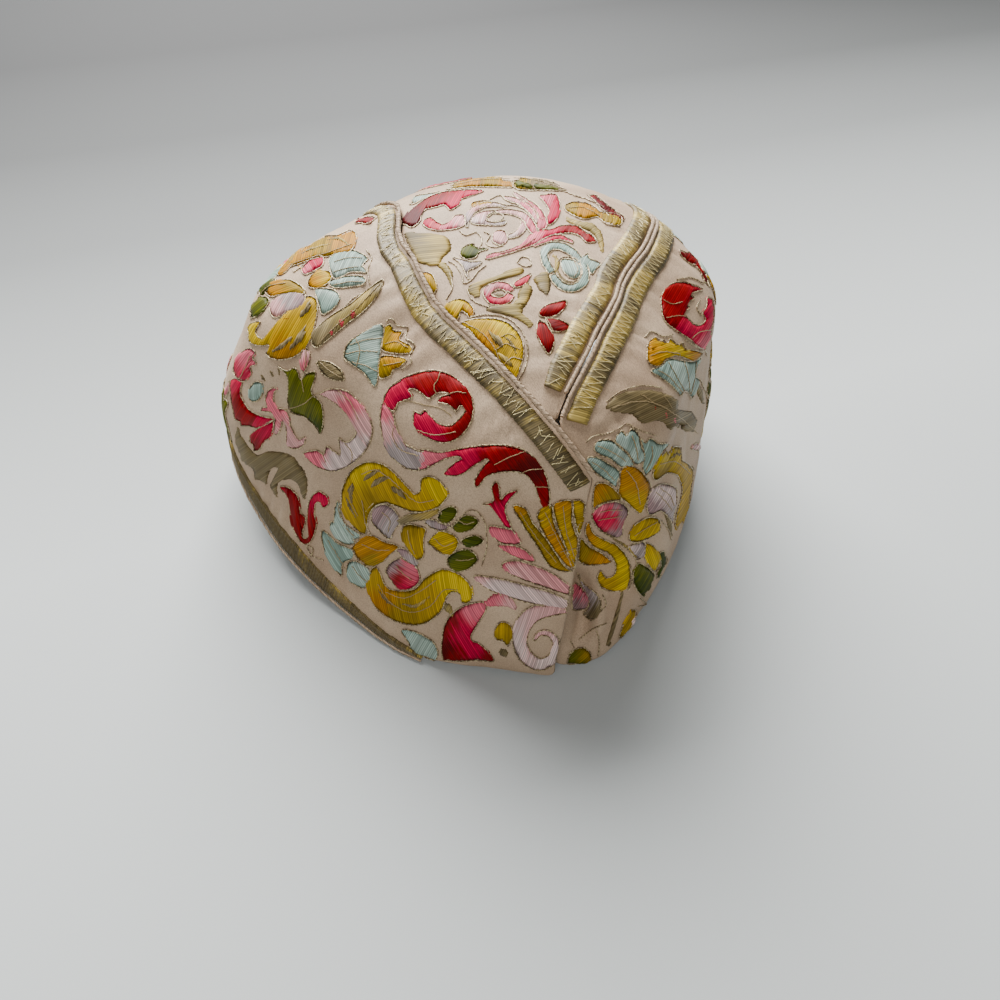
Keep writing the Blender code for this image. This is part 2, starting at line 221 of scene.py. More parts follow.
def band_edges(node):
    """The long edges of a band, longest first, each as a chain of points."""
    form = merged_copy(node)
    sharp = {part for part in form.edges if part.calc_face_angle(0) > radians(50)}
    corners = [v for v in form.verts if len([part for part in v.link_edges if part in sharp]) > 2]
    chains = []
    for corner in corners:
        for first in corner.link_edges:
            if first not in sharp:
                continue
            chain = [corner, first.other_vert(corner)]
            while chain[-1] not in corners:
                onward = [
                    part.other_vert(chain[-1]) for part in chain[-1].link_edges
                    if part in sharp and part.other_vert(chain[-1]) is not chain[-2]
                ]
                if not onward:
                    break
                chain.append(onward[0])
            if chain[-1] in corners and chain[0].index < chain[-1].index:
                chains.append([v.co.copy() for v in chain])
    form.free()
    return sorted(chains, key=lambda chain: -sum((a - b).length for a, b in zip(chain, chain[1:])))


def evenly(chain, count):
    """Points evenly spaced along a chain."""
    lengths = [0.0]
    for one, two in zip(chain, chain[1:]):
        lengths.append(lengths[-1] + (two - one).length)
    points = []
    slot = 0
    for step in range(count):
        at = lengths[-1] * step / (count - 1)
        while slot < len(chain) - 2 and lengths[slot + 1] < at:
            slot += 1
        share = (at - lengths[slot]) / max(lengths[slot + 1] - lengths[slot], 1e-9)
        points.append(chain[slot].lerp(chain[slot + 1], share))
    return points


def silk_material():
    """Silk satin: a fine ribbed weave, a faint sheen and a cloudiness of age."""
    finish, nodes, links, shader = blank_material("silk_satin")
    place = nodes.new("ShaderNodeTexCoord")
    cloud = nodes.new("ShaderNodeTexNoise")
    cloud.inputs["Scale"].default_value = 60
    cloud.inputs["Detail"].default_value = 4
    ramp = colour_ramp(nodes, [(0.3, SILK_DARK), (0.7, SILK_LIGHT)])
    ribs = nodes.new("ShaderNodeMapping")
    ribs.inputs["Scale"].default_value = WEAVE_SCALE
    ribs.inputs["Rotation"].default_value = (0, 0, radians(30))
    weave = nodes.new("ShaderNodeTexNoise")
    weave.inputs["Scale"].default_value = 1
    weave.inputs["Detail"].default_value = 2
    threads = colour_ramp(nodes, [(0.35, (0.72, 0.72, 0.72)), (0.6, (1.05, 1.05, 1.05))])
    woven = nodes.new("ShaderNodeVectorMath")
    woven.operation = "MULTIPLY"
    bump = nodes.new("ShaderNodeBump")
    bump.inputs["Strength"].default_value = 0.4
    bump.inputs["Distance"].default_value = 0.15 * MM
    links.new(place.outputs["Object"], cloud.inputs["Vector"])
    links.new(place.outputs["Object"], ribs.inputs["Vector"])
    links.new(ribs.outputs["Vector"], weave.inputs["Vector"])
    links.new(cloud.outputs["Fac"], ramp.inputs["Fac"])
    links.new(weave.outputs["Fac"], threads.inputs["Fac"])
    links.new(ramp.outputs["Color"], woven.inputs[0])
    links.new(threads.outputs["Color"], woven.inputs[1])
    links.new(woven.outputs["Vector"], shader.inputs["Base Color"])
    links.new(weave.outputs["Fac"], bump.inputs["Height"])
    links.new(bump.outputs["Normal"], shader.inputs["Normal"])
    shader.inputs["Roughness"].default_value = 0.6
    shader.inputs["Specular IOR Level"].default_value = 0.12
    shader.inputs["Sheen Weight"].default_value = 0.04
    shader.inputs["Sheen Roughness"].default_value = 0.4
    return finish


silk = silk_material()
EDGE_FULLNESS = 0.30 * MM
CAP_MIDDLE = Vector((0, 0, 20 * MM))
SEAMS = {
    "crown_gore": ("crown_seam_band", "crown_hem_band"),
    "left_side": ("left_seam_band", "left_hem_band"),
    "right_side": ("right_seam_band", "right_hem_band"),
}
SEAM_POINTS = 600
GATHER_SPACING = 5.5 * MM
GATHER_DEPTH = 0.60 * MM
GATHER_REACH = 8 * MM
GATHER_WANDER = 14 * MM
GATHER_PATCH = 11 * MM
BAND_MARGIN = 2 * MM
CREASE_PARTS = 10
CREASE_THROUGH = 5 * MM
# Creases: the panel, the depth and half width in millimetres, and the run in the photograph's pixels.
CREASES = (
    ("right_side", 5.0, 3.6, ((577, 570), (581, 590), (584, 610), (583, 630), (576, 652))),
    ("right_side", -1.4, 2.2, ((603, 586), (601, 612), (597, 640))),
    ("right_side", 0.8, 1.6, ((606, 560), (612, 600), (604, 640))),
    ("left_side", 0.7, 2.0, ((356, 262), (374, 258), (394, 262))),
    ("left_side", 0.6, 1.8, ((352, 296), (376, 284), (404, 282))),
    ("left_side", 0.6, 2.2, ((402, 384), (425, 366), (452, 352))),
    ("left_side", 0.8, 2.4, ((505, 470), (525, 500), (548, 512))),
    ("left_side", 0.5, 2.0, ((340, 452), (372, 440), (398, 452))),
    ("crown_gore", 0.5, 1.8, ((520, 360), (545, 352), (575, 348))),
    ("crown_gore", 0.6, 2.0, ((560, 192), (592, 206), (628, 214))),
    ("right_side", 0.6, 2.0, ((592, 440), (612, 424), (640, 402))),
    ("right_side", 0.6, 2.0, ((628, 330), (648, 334), (664, 350))),
)


def seam_pulls(node):
    """For each band on a panel: its solid, the points along its edge, and their spacing."""
    pulls = []
    for band in SEAMS[node]:
        solid = merged_copy(band)
        edge = evenly(band_edges(band)[0], SEAM_POINTS)
        near = KDTree(len(edge))
        for place, point in enumerate(edge):
            near.insert(point, place)
        near.balance()
        pulls.append((BVHTree.FromBMesh(solid), near, (edge[1] - edge[0]).length))
        solid.free()
    return pulls


def gather(pulls, place, puckers):
    """How far puckers and the seams' small gathers lift the cloth at a place. It lies flat under a band."""
    lift = puckers
    for solid, near, spacing in pulls:
        away = solid.find_nearest(place)[3]
        lift -= puckers * max(1 - away / BAND_MARGIN, 0)
        along = near.find(place)[1] * spacing
        wave = sin(2 * pi * along / GATHER_SPACING + 4 * noise.noise(place / GATHER_WANDER))
        wave *= 0.6 + noise.noise(Vector((along / GATHER_PATCH, 0.5, 0.5)))
        lift += GATHER_DEPTH * wave * min(away / BAND_MARGIN, 1) * exp(-away / GATHER_REACH)
    return lift


def crease_marks(tree, node):
    """Points along each crease of a panel: (place, outward normal, depth, half width)."""
    marks = []
    for panel_name, depth, half_width, run in CREASES:
        if panel_name != node:
            continue
        landed = [landing([tree], photo_sight, x, y) for x, y in run]
        places = evenly([spot[0] for spot in landed], CREASE_PARTS * len(run))
        for place, point in enumerate(places):
            normal = landed[min(place // CREASE_PARTS, len(landed) - 1)][1]
            ends = min(1, 4 * place / len(places), 4 * (len(places) - 1 - place) / len(places))
            marks.append((point, normal, depth * MM * ends, half_width * MM))
    return marks


def creased(marks, place):
    """The push of the deepest crease at a place, for both layers of the cloth alike."""
    push = Vector((0, 0, 0))
    for point, normal, depth, half_width in marks:
        apart = place - point
        height = apart.dot(normal)
        beside = (apart - normal * height).length
        if beside < half_width and abs(height) < CREASE_THROUGH:
            sunk = depth * (0.5 + 0.5 * cos(pi * beside / half_width))
            if abs(sunk) > push.length:
                push = normal * -sunk
    return push


cloth_trees = {}
for node in CLOTH_NODES:
    panel = finished(merged_copy(node), node + "_silk", silk)
    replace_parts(panel, node)
    rounding = panel.modifiers.new("rounding", "SUBSURF")
    rounding.levels = SUBDIVISIONS
    rounding.render_levels = SUBDIVISIONS
    bpy.context.view_layer.update()
    evaluated = panel.evaluated_get(bpy.context.evaluated_depsgraph_get())
    fine = bmesh.new()
    fine.from_mesh(evaluated.to_mesh())
    panel.modifiers.remove(rounding)
    pulls = seam_pulls(node)
    marks = crease_marks(BVHTree.FromBMesh(fine), node)
    for vertex in fine.verts:
        facing = vertex.normal.dot((vertex.co - CAP_MIDDLE).normalized())
        outward = vertex.normal if facing > 0 else -vertex.normal
        puckers = noise.noise(vertex.co / PUCKER_SIZE) + 0.5 * noise.noise(vertex.co * 2.3 / PUCKER_SIZE)
        lift = gather(pulls, vertex.co, puckers * PUCKER_DEPTH)
        fullness = EDGE_FULLNESS * (1 - abs(facing)) ** 2
        vertex.co += creased(marks, vertex.co) + outward * lift + vertex.normal * fullness
    fine.to_mesh(panel.data)
    panel.data.shade_smooth()
    cloth_trees[node] = BVHTree.FromBMesh(fine)
    fine.free()


# Silk needlework. Each petal or leaf is a fill of satin stitches laid side by side over a little padding.
# A fill is (angle of its stitches, silks, shape), in the photograph's pixels. The shape is an outline of
# (x, y) or a run of (x, y, width), and several silks each lie round a spot (silk, x, y) of the fill.
STITCH_STEP = 1.9
STITCH_PART = 7.0
PADDING = 0.45 * MM
PADDING_PER_LENGTH = 0.12
STITCH_RIDGE = 0.11 * MM
STITCH_SINK = 0.30 * MM
SHORTEST_STITCH = 0.6
END_ROW = 0.55
THREAD_SHADES = (0.62, 1.28)
THREAD_SWELLS = (0.6, 1.3)
STITCH_FURROW_PAINTED_SHADE = 0.50
COLOUR_STRAY = 5
RAGGED = 0.8
DRAW_IN_STEPS = 12
DRAW_IN_SHARE = 0.03
LEAST_FACING = 0.20
SILKS = {
    "crimson": (141, 0, 6),
    "wine": (90, 0, 0),
    "rose": (201, 7, 64),
    "pink": (227, 110, 126),
    "blush": (229, 171, 166),
    "shell": (231, 204, 196),
    "coral": (212, 76, 84),
    "yellow": (186, 148, 0),
    "lemon": (207, 175, 7),
    "ochre": (184, 125, 0),
    "mustard": (149, 119, 0),
    "blue": (146, 170, 156),
    "ice": (172, 190, 176),
    "green": (98, 100, 9),
    "forest": (57, 68, 9),
    "khaki": (124, 108, 74),
    "tan": (141, 124, 88),
    "gold": (176, 150, 78),
    "straw": (152, 132, 74),
    "silver": (171, 156, 152),
    "mauve": (158, 128, 128),
    "gilt": (186, 160, 82),
    "bronze": (118, 102, 66),
}
dice = random.Random(7)


def linear(colour):
    """A colour read from the photograph, 0 to 255, as light."""
    return [part / 255 / 12.92 if part <= 10 else ((part / 255 + 0.055) / 1.055) ** 2.4 for part in colour]


def smooth_run(points, spacing, closed=False):
    """Evenly spaced points of a smooth line through the drawn ones; what follows x and y runs along."""
    if closed:
        ends = (points[-1], *points, points[0], points[1])
    else:
        first = tuple(2 * one - two for one, two in zip(points[0], points[1]))
        last = tuple(2 * one - two for one, two in zip(points[-1], points[-2]))
        ends = (first, *points, last)
    dense = []
    parts = 10
    for before, start, end, after in zip(ends, ends[1:], ends[2:], ends[3:]):
        for step in range(parts):
            t = step / parts
            dense.append(tuple(
                0.5 * (
                    2 * b + (c - a) * t + (2 * a - 5 * b + 4 * c - d) * t * t
                    + (3 * b - 3 * c + d - a) * t ** 3
                )
                for a, b, c, d in zip(before, start, end, after)
            ))
    dense.append(ends[-2])
    lengths = [0.0]
    for one, two in zip(dense, dense[1:]):
        lengths.append(lengths[-1] + hypot(two[0] - one[0], two[1] - one[1]))
    count = max(2, round(lengths[-1] / spacing))
    run = []
    slot = 0
    for step in range(count + (not closed)):
        at = lengths[-1] * step / count
        while slot < len(dense) - 2 and lengths[slot + 1] < at:
            slot += 1
        share = (at - lengths[slot]) / max(lengths[slot + 1] - lengths[slot], 1e-9)
        run.append(tuple(a + (b - a) * share for a, b in zip(dense[slot], dense[slot + 1])))
    return run


def edge_of(shape, spacing):
    """Closed outline of a shape, evenly spaced: of one drawn as an outline or as a run with widths."""
    if len(shape[0]) == 2:
        return smooth_run(shape, spacing, closed=True)
    run = smooth_run(shape, spacing)
    left, right = [], []
    for place, (x, y, width) in enumerate(run):
        before, after = run[max(place - 1, 0)], run[min(place + 1, len(run) - 1)]
        along = (after[0] - before[0], after[1] - before[1])
        half = max(width, 0) / 2 / max(hypot(*along), 1e-6)
        left.append((x + along[1] * half, y - along[0] * half))
        right.append((x - along[1] * half, y + along[0] * half))
    return left + right[::-1]


def drawn_in(edge, trees, sight):
    """Draw points of an outline in towards its middle where the cloth turns away from the line of sight."""
    middle_x = sum(x for x, y in edge) / len(edge)
    middle_y = sum(y for x, y in edge) / len(edge)
    points = []
    for x, y in edge:
        for step in range(DRAW_IN_STEPS):
            normal = landing(trees, sight, x, y)[1]
            if -normal.dot(sight(x, y)[1]) > LEAST_FACING:
                break
            x += (middle_x - x) * DRAW_IN_SHARE
            y += (middle_y - y) * DRAW_IN_SHARE
        points.append((x, y))
    return points


def stitch_rows(edge, angle):
    """Blocks of parallel stitches across an outline, each stitch as its two ends."""
    turn = radians(angle)
    flat = [(x * cos(turn) - y * sin(turn), x * sin(turn) + y * cos(turn)) for x, y in edge]
    low = min(y for x, y in flat)
    count = max(2, round((max(y for x, y in flat) - low) / STITCH_STEP))
    step = (max(y for x, y in flat) - low) / count
    open_blocks, blocks = [], []
    for row in range(count):
        level = low + step * (row + 0.5)
        crossings = sorted(
            one[0] + (two[0] - one[0]) * (level - one[1]) / (two[1] - one[1])
            for one, two in zip(flat, flat[1:] + flat[:1])
            if (one[1] <= level) != (two[1] <= level)
        )
        spans = [(a, b, level) for a, b in zip(crossings[::2], crossings[1::2]) if b - a > SHORTEST_STITCH]
        kept = []
        for span in spans:
            joined = [block for block in open_blocks if block[-1][0] < span[1] and span[0] < block[-1][1]]
            rivals = [
                other for other in spans
                if joined and joined[0][-1][0] < other[1] and other[0] < joined[0][-1][1]
            ]
            if len(joined) == 1 and len(rivals) == 1:
                joined[0].append(span)
                kept.append(joined[0])
            else:
                blocks.append([span])
                kept.append(blocks[-1])
        open_blocks = kept
    placed = []
    for block in blocks:
        first, last = block[0], block[-1]
        block = [(*first[:2], first[2] - step * END_ROW), *block, (*last[:2], last[2] + step * END_ROW)]
        placed.append([
            [(x * cos(turn) + y * sin(turn), y * cos(turn) - x * sin(turn)) for x in (start, end)]
            for start, end, y in block
        ])
    return placed


def spots_of(colours, shape):
    """Spots (silk, x, y) of a fill. Silks named in a row follow its run from end to end."""
    if not isinstance(colours, str):
        return colours
    names = colours.split()
    last = max(len(names) - 1, 1)
    places = [round(place * (len(shape) - 1) / last) for place in range(len(names))]
    return [(name, *shape[place][:2]) for name, place in zip(names, places)]


def blended(colours, x, y):
    """Colour of the silk at a drawn point, mixed from the silks whose spots lie nearest."""
    total = 0.0
    mix = [0.0, 0.0, 0.0]
    for name, at_x, at_y in colours:
        weight = 1 / (hypot(x - at_x, y - at_y) + 1) ** 5
        total += weight
        mix = [part + weight * light for part, light in zip(mix, linear(SILKS[name]))]
    return [part / total for part in mix]


def lay_stitches(form, tint, trees, sight, pixel, colours, block, raised=0.0):
    """Lay one block of stitches on the cloth: a padded sheet with a ridge for each stitch."""
    longest = max(hypot(b[0] - a[0], b[1] - a[1]) for a, b in block)
    parts = 2 + int(longest / STITCH_PART)
    section = [(0.5, -1.0), (0.0, -0.1)]
    section += [(part / parts, 4 * part / parts * (1 - part / parts)) for part in range(1, parts)]
    section += [(1.0, -0.1), (0.5, -1.0)]
    lines = 2 * len(block) - 1
    patch = bmesh.ops.create_grid(form, x_segments=lines - 1, y_segments=len(section) - 1, size=0.5)
    shades = [dice.uniform(*THREAD_SHADES) for line in range(lines)]
    ends = [(dice.uniform(-RAGGED, RAGGED), dice.uniform(-RAGGED, RAGGED)) for line in range(lines)]
    swells = [dice.uniform(*THREAD_SWELLS) for line in range(lines)]
    strays = [[dice.uniform(-COLOUR_STRAY, COLOUR_STRAY) for part in "xy"] for line in range(lines)]
    middle = block[len(block) // 2][0]
    reach = landing(trees, sight, *middle)[2]
    for vertex in patch["verts"]:
        line = round((vertex.co.x + 0.5) * (lines - 1))
        share, height = section[round((vertex.co.y + 0.5) * (len(section) - 1))]
        one, two = block[line // 2], block[(line + 1) // 2]
        start = [(a + b) / 2 for a, b in zip(one[0], two[0])]
        end = [(a + b) / 2 for a, b in zip(one[1], two[1])]
        length = max(hypot(end[0] - start[0], end[1] - start[1]), 0.1)
        at = share + (ends[line][0] * (1 - share) + ends[line][1] * share) / length
        x, y = (a + (b - a) * at for a, b in zip(start, end))
        point, normal, reach = landing(trees, sight, x, y, reach)
        if height > 0:
            pad = min(PADDING, PADDING_PER_LENGTH * length * pixel)
            lift = pad * (1 - (1 - height) ** 2) + (0 if line % 2 else STITCH_RIDGE * swells[line])
        else:
            lift = height * STITCH_SINK
        vertex.co = point + normal * (lift + raised)
        # Every other line is the furrow between two stitches, darkened by painted shade; the thread's own
        # shade is a random tone.
        shade = shades[line] * (STITCH_FURROW_PAINTED_SHADE if line % 2 else 1.0)
        colour = blended(colours, x + strays[line][0], y + strays[line][1])
        vertex[tint] = (*[part * shade for part in colour], 1)


def close_sheets(form):
    """Merge the sheets' doubled points, close their undersides and turn their faces outwards."""
    bmesh.ops.remove_doubles(form, verts=form.verts[:], dist=0.002 * MM)
    bmesh.ops.holes_fill(form, edges=[part for part in form.edges if part.is_boundary], sides=0)
    bmesh.ops.recalc_face_normals(form, faces=form.faces[:])


def thread_material(name, roughness, metallic, specular):
    """Silk or metal thread, coloured by each thread's tint: its own colour, with painted shade in the furrows
    between threads.
    """
    finish, nodes, links, shader = blank_material(name)
    tint = nodes.new("ShaderNodeVertexColor")
    tint.layer_name = "thread"
    links.new(tint.outputs["Color"], shader.inputs["Base Color"])
    shader.inputs["Roughness"].default_value = roughness
    shader.inputs["Metallic"].default_value = metallic
    shader.inputs["Specular IOR Level"].default_value = specular
    return finish


stitch_silk = thread_material("stitch_silk", 0.55, 0.0, 0.06)
PHOTO_PIXEL = 0.25 * MM


def needlework(
    name, node, fills, bare=(), lines=(), veins=(),
    sight=photo_sight, pixel=PHOTO_PIXEL, thread=stitch_silk, raised=0.0,
):
    """Work a motif on a panel: fills with a cord round them, bare ones without, lines of cord and veins."""
    form = bmesh.new()
    tint = form.verts.layers.float_color.new("thread")
    trees = [cloth_trees[node]]
    for laid in (fills, bare):
        for angle, colours, shape in laid:
            spots = spots_of(colours, shape)
            outline = drawn_in(edge_of(shape, STITCH_STEP), trees[:1], sight)
            for block in stitch_rows(outline, angle):
                lay_stitches(form, tint, trees, sight, pixel, spots, block, raised)
        if laid:
            trees = [cloth_trees[node], BVHTree.FromBMesh(form)]
    close_sheets(form)
    finished(form, name, thread)
    cords = [(drawn_in(edge_of(shape, CORD_STEP), trees[:1], sight), True) for angle, colours, shape in fills]
    cords += [(smooth_run(line, CORD_STEP), False) for line in lines]
    if cords:
        couch(name + "_cord", trees[:1], cords, sight, pixel, CORD_LIFT, CORD_RADIUS, cord_metal)
    if veins:
        drawn = [(smooth_run(line, CORD_STEP), False) for line in veins]
        couch(name + "_veins", trees, drawn, sight, pixel, VEIN_LIFT, VEIN_RADIUS, vein_thread)


# A twisted cord of metal thread is couched round the fills. Veins are a thinner pale thread, laid over the
# fills.
CORD_RADIUS = 0.17 * MM
CORD_STEP = 1.5
CORD_LIFT = 0.18 * MM
CORD_STRAY = 0.3
VEIN_RADIUS = 0.11 * MM
VEIN_LIFT = 0.10 * MM


def cord_piece(name, routes, radius, material, roundness=0, twist=0.2):
    """One piece of every cord along the routes, each given as (points, whether it closes)."""
    data = bpy.data.curves.new(name, "CURVE")
    data.dimensions = "3D"
    data.bevel_depth = radius
    data.bevel_resolution = roundness
    data.use_fill_caps = True
    for places, closed in routes:
        line = data.splines.new("POLY")
        line.points.add(len(places) - 1)
        line.use_cyclic_u = closed
        for spot, (knot, place) in enumerate(zip(line.points, places)):
            knot.co = (*place, 1)
            knot.radius = (1 + twist if spot % 2 else 1 - twist) * dice.uniform(0.9, 1.1)
    curve = bpy.data.objects.new(name + "_line", data)
    bpy.context.scene.collection.objects.link(curve)
    bpy.context.view_layer.update()
    mesh = bpy.data.meshes.new_from_object(curve.evaluated_get(bpy.context.evaluated_depsgraph_get()))
    bpy.data.objects.remove(curve)
    mesh.name = name
    mesh.materials.clear()
    mesh.materials.append(material)
    mesh.shade_smooth()
    piece = bpy.data.objects.new(name, mesh)
    bpy.context.scene.collection.objects.link(piece)
    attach(piece, "root")
    return piece


def couch(name, trees, cords, sight, pixel, lift, radius, material):
    """Couch a thread along every drawn line of a motif, given as (points, whether it closes)."""
    routes = []
    for drawn, closed in cords:
        reach = landing(trees, sight, *drawn[len(drawn) // 2][:2])[2]
        places = []
        for spot in drawn:
            stray = dice.uniform(-CORD_STRAY, CORD_STRAY)
            point, normal, reach = landing(trees, sight, spot[0] + stray, spot[1] - stray, reach)
            if -normal.dot(sight(*spot[:2])[1]) < LEAST_FACING / 2:
                continue
            place = point + normal * lift
            if not places or (place - places[-1]).length > 0.5 * CORD_STEP * pixel:
                places.append(place)
        if len(places) > 3:
            routes.append((places, closed))
    cord_piece(name, routes, radius, material)


def cord_material():
    """Tarnished metal cord, dotted with painted shade in its furrows and painted highlights where its twist
    catches the light.
    """
    finish, nodes, links, shader = blank_material("couched_metal_cord")
    place = nodes.new("ShaderNodeTexCoord")
    twist = nodes.new("ShaderNodeTexNoise")
    twist.inputs["Scale"].default_value = 2300
    # The dark stop is tarnish with painted shade; the light stop is a painted highlight.
    ramp = colour_ramp(nodes, [(0.45, linear((104, 84, 58))), (0.57, linear((200, 182, 140)))])
    links.new(place.outputs["Object"], twist.inputs["Vector"])
    links.new(twist.outputs["Fac"], ramp.inputs["Fac"])
    links.new(ramp.outputs["Color"], shader.inputs["Base Color"])
    shader.inputs["Roughness"].default_value = 0.45
    shader.inputs["Metallic"].default_value = 0.35
    return finish


def plain_thread(name, colour, roughness, metallic):
    """Fine thread of one colour."""
    finish, nodes, links, shader = blank_material(name)
    shader.inputs["Base Color"].default_value = (*linear(colour), 1)
    shader.inputs["Roughness"].default_value = roughness
    shader.inputs["Metallic"].default_value = metallic
    return finish


cord_metal = cord_material()
vein_thread = plain_thread("vein_thread", (152, 130, 90), 0.55, 0.2)


# Flat bands of metal thread follow every seam and the hem. Bright gilt threads and tarnished ones lie side
# by side across the band, with finer stitches crossed or set in zigzags over them.
METAL_STEP = 0.50 * MM
METAL_RIDGE = 0.10 * MM
METAL_RAGGED = 0.22 * MM
METAL_THICKNESS = 0.8 * MM
HEM_TAPER = 190
METAL_DROP = 0.50 * MM
METAL_CROWN = 0.5 * MM
METAL_SHADES = (0.50, 1.30)
METAL_SWELLS = (0.3, 1.4)
METAL_GROOVE_PAINTED_SHADE = 0.45
GILT_LUCK = 0.35
LARGE_PATCH = 9 * MM
SMALL_PATCH = 1.6 * MM
METAL_SECTION = (
    (0.5, -1.1), (0.0, -0.9), (0.0, -0.2), (0.2, 0.1), (0.5, 0.2),
    (0.8, 0.1), (1.0, -0.2), (1.0, -0.9), (0.5, -1.1),
)
METAL_BANDS = (
    ("left_seam_band", "left_side", -0.45, "crossed"),
    ("crown_seam_band", "crown_gore", 0.15, "crossed"),
    ("right_seam_band", "right_side", 0.05, "zigzag"),
    ("left_hem_band", "left_side", -0.8, "twill"),
    ("right_hem_band", "right_side", -1.1, "twill"),
    ("crown_hem_band", "crown_gore", -1.1, "twill"),
)
metal_silk = thread_material("laid_metal_thread", 0.48, 0.2, 0.3)
hem_twill = thread_material("hem_twill_thread", 0.85, 0.15, 0.1)


def long_edges(node, cloth):
    """The two long outer edges of a band, as matching rows of points."""
    tree = cloth_trees[cloth]
    chains = sorted(
        band_edges(node)[:4], key=lambda chain: -sum(tree.find_nearest(co)[3] for co in chain) / len(chain)
    )
    one, two = chains[:2]
    if (one[0] - two[0]).length > (one[0] - two[-1]).length:
        two.reverse()
    return one, two


def rails_of(node, cloth):
    """The band's two edges, with a point on each for every line of thread. A hem band tapers at its ends."""
    one, two = long_edges(node, cloth)
    length = sum((a - b).length for a, b in zip(one, one[1:]))
    lines = 2 * round(length / METAL_STEP)
    left, right = evenly(one, lines), evenly(two, lines)
    if "hem" in node:
        left, right = sorted((left, right), key=lambda rail: sum(point.z for point in rail))
        for line in range(lines):
            full = min(1, line / HEM_TAPER, (lines - 1 - line) / HEM_TAPER)
            right[line] = left[line].lerp(right[line], 0.1 + 0.9 * full)
    return left, right


def metal_threads(node, left, right, normals, brightness):
    """Lay the threads of a band side by side across it, gilt in patches and tarnished between them."""
    lines = len(left)
    form = bmesh.new()
    tint = form.verts.layers.float_color.new("thread")
    patch = bmesh.ops.create_grid(form, x_segments=lines - 1, y_segments=len(METAL_SECTION) - 1, size=0.5)
    shades = [dice.uniform(*METAL_SHADES) for line in range(lines)]
    lucks = [dice.uniform(-GILT_LUCK, GILT_LUCK) for line in range(lines)]
    outs = [(dice.uniform(0, METAL_RAGGED), dice.uniform(0, METAL_RAGGED)) for line in range(lines)]
    swells = [dice.uniform(*METAL_SWELLS) for line in range(lines)]
    dull, bright = linear(SILKS["bronze"]), linear(SILKS["gilt"])
    for vertex in patch["verts"]:
        line = round((vertex.co.x + 0.5) * (lines - 1))
        share, height = METAL_SECTION[round((vertex.co.y + 0.5) * (len(METAL_SECTION) - 1))]
        across = (right[line] - left[line]).normalized()
        place = left[line].lerp(right[line], share)
        place += across * (outs[line][1] if share == 1 else -outs[line][0] if share == 0 else 0)
        lift = height * (METAL_THICKNESS if height < 0 else METAL_CROWN)
        if height > 0 and not line % 2:
            lift += METAL_RIDGE * swells[line]
        vertex.co = place + normals[line] * (lift - METAL_DROP)
        along = line * METAL_STEP / 2
        patchy = noise.noise(Vector((along / LARGE_PATCH, share * 0.5, len(node)))) * 1.8 + brightness
        patchy += noise.noise(Vector((along / SMALL_PATCH, share * 2.0, 3.0))) * 0.8
        gilt = min(max((patchy + lucks[line]) * 1.8 + 0.5, 0), 1)
        # Every other line is the furrow between two threads, darkened by painted shade.
        shade = shades[line] * (METAL_GROOVE_PAINTED_SHADE if line % 2 else 1.0)
        vertex[tint] = (*[(a + (b - a) * gilt) * shade for a, b in zip(dull, bright)], 1)
    close_sheets(form)
    threads = hem_twill if "hem" in node else metal_silk
    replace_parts(finished(form, node + "_threads", threads), node)


def fine_stitches(node, left, right, normals, pattern):
    """Work the finer stitches over a band: crossed, in a zigzag or as a slanting twill."""
    last = len(left) - 1
    routes = []
    for spot in range(2, len(left) - 14, PATTERN_SPACING[pattern]):
        if pattern == "crossed":
            if dice.random() < 0.2:
                continue
            start, end = spot + dice.randint(-2, 2), spot + dice.randint(-8, 8)
            shares = (dice.uniform(0.0, 0.4), dice.uniform(0.5, 1.0))
        elif pattern == "zigzag":
            start, end = spot + dice.randint(-1, 1), spot + 4 + dice.randint(-1, 2)
            shares = (dice.uniform(0.02, 0.2), dice.uniform(0.8, 0.98))
            if (spot // 4) % 2:
                shares = shares[::-1]
        else:
            start, end = spot, spot + 9
            shares = (0.0, 1.0)
        route = []
        for step in range(4):
            line = min(max(round(start + (end - start) * step / 3), 0), last)
            share = shares[0] + (shares[1] - shares[0]) * step / 3
            route.append(left[line].lerp(right[line], share) + normals[line] * (FINE_LIFT - METAL_DROP))
        routes.append((route, False))
    fine = fine_gold if "seam" in node else fine_bronze
    cord_piece(node + "_stitches", routes, FINE_STITCH, fine)


def whipped_fold(node, cloth, left, right, normals):
    """Round the cloth's folded edge beside a band, and whip it over with small stitches."""
    others = [cloth_trees[other] for other in CLOTH_NODES if other != cloth]
    if "hem" in node:
        free, far = left, right
        reach, lift, radius = HEM_FOLD
    else:
        free, far = sorted((left, right), key=lambda rail: sum(
            min(other.find_nearest(point)[3] for other in others) for point in rail
        ))
        reach, lift, radius = SEAM_FOLDS[cloth]
    fold = []
    whips = []
    for place, (point, opposite, normal) in enumerate(list(zip(free, far, normals))[::2]):
        outward = (point - opposite).normalized()
        middle = point + outward * reach + normal * (lift - METAL_THICKNESS)
        if fold and place % WHIP_EVERY == 0:
            slant = (middle - fold[-1]) * dice.uniform(0.6, 1.4)
            whips.append(([
                middle + (outward * cos(turn) + normal * sin(turn)) * (radius + WHIP_LIFT) + slant * step
                for step, turn in enumerate(WHIP_TURNS)
            ], False))
        fold.append(middle)
    edge_name = cloth + ("_hem" if "hem" in node else "_seam")
    cord_piece(edge_name + "_fold", [(fold, False)], radius, silk, 2, 0.12)
    cord_piece(edge_name + "_whipping", whips, WHIP_STITCH, whip_thread)


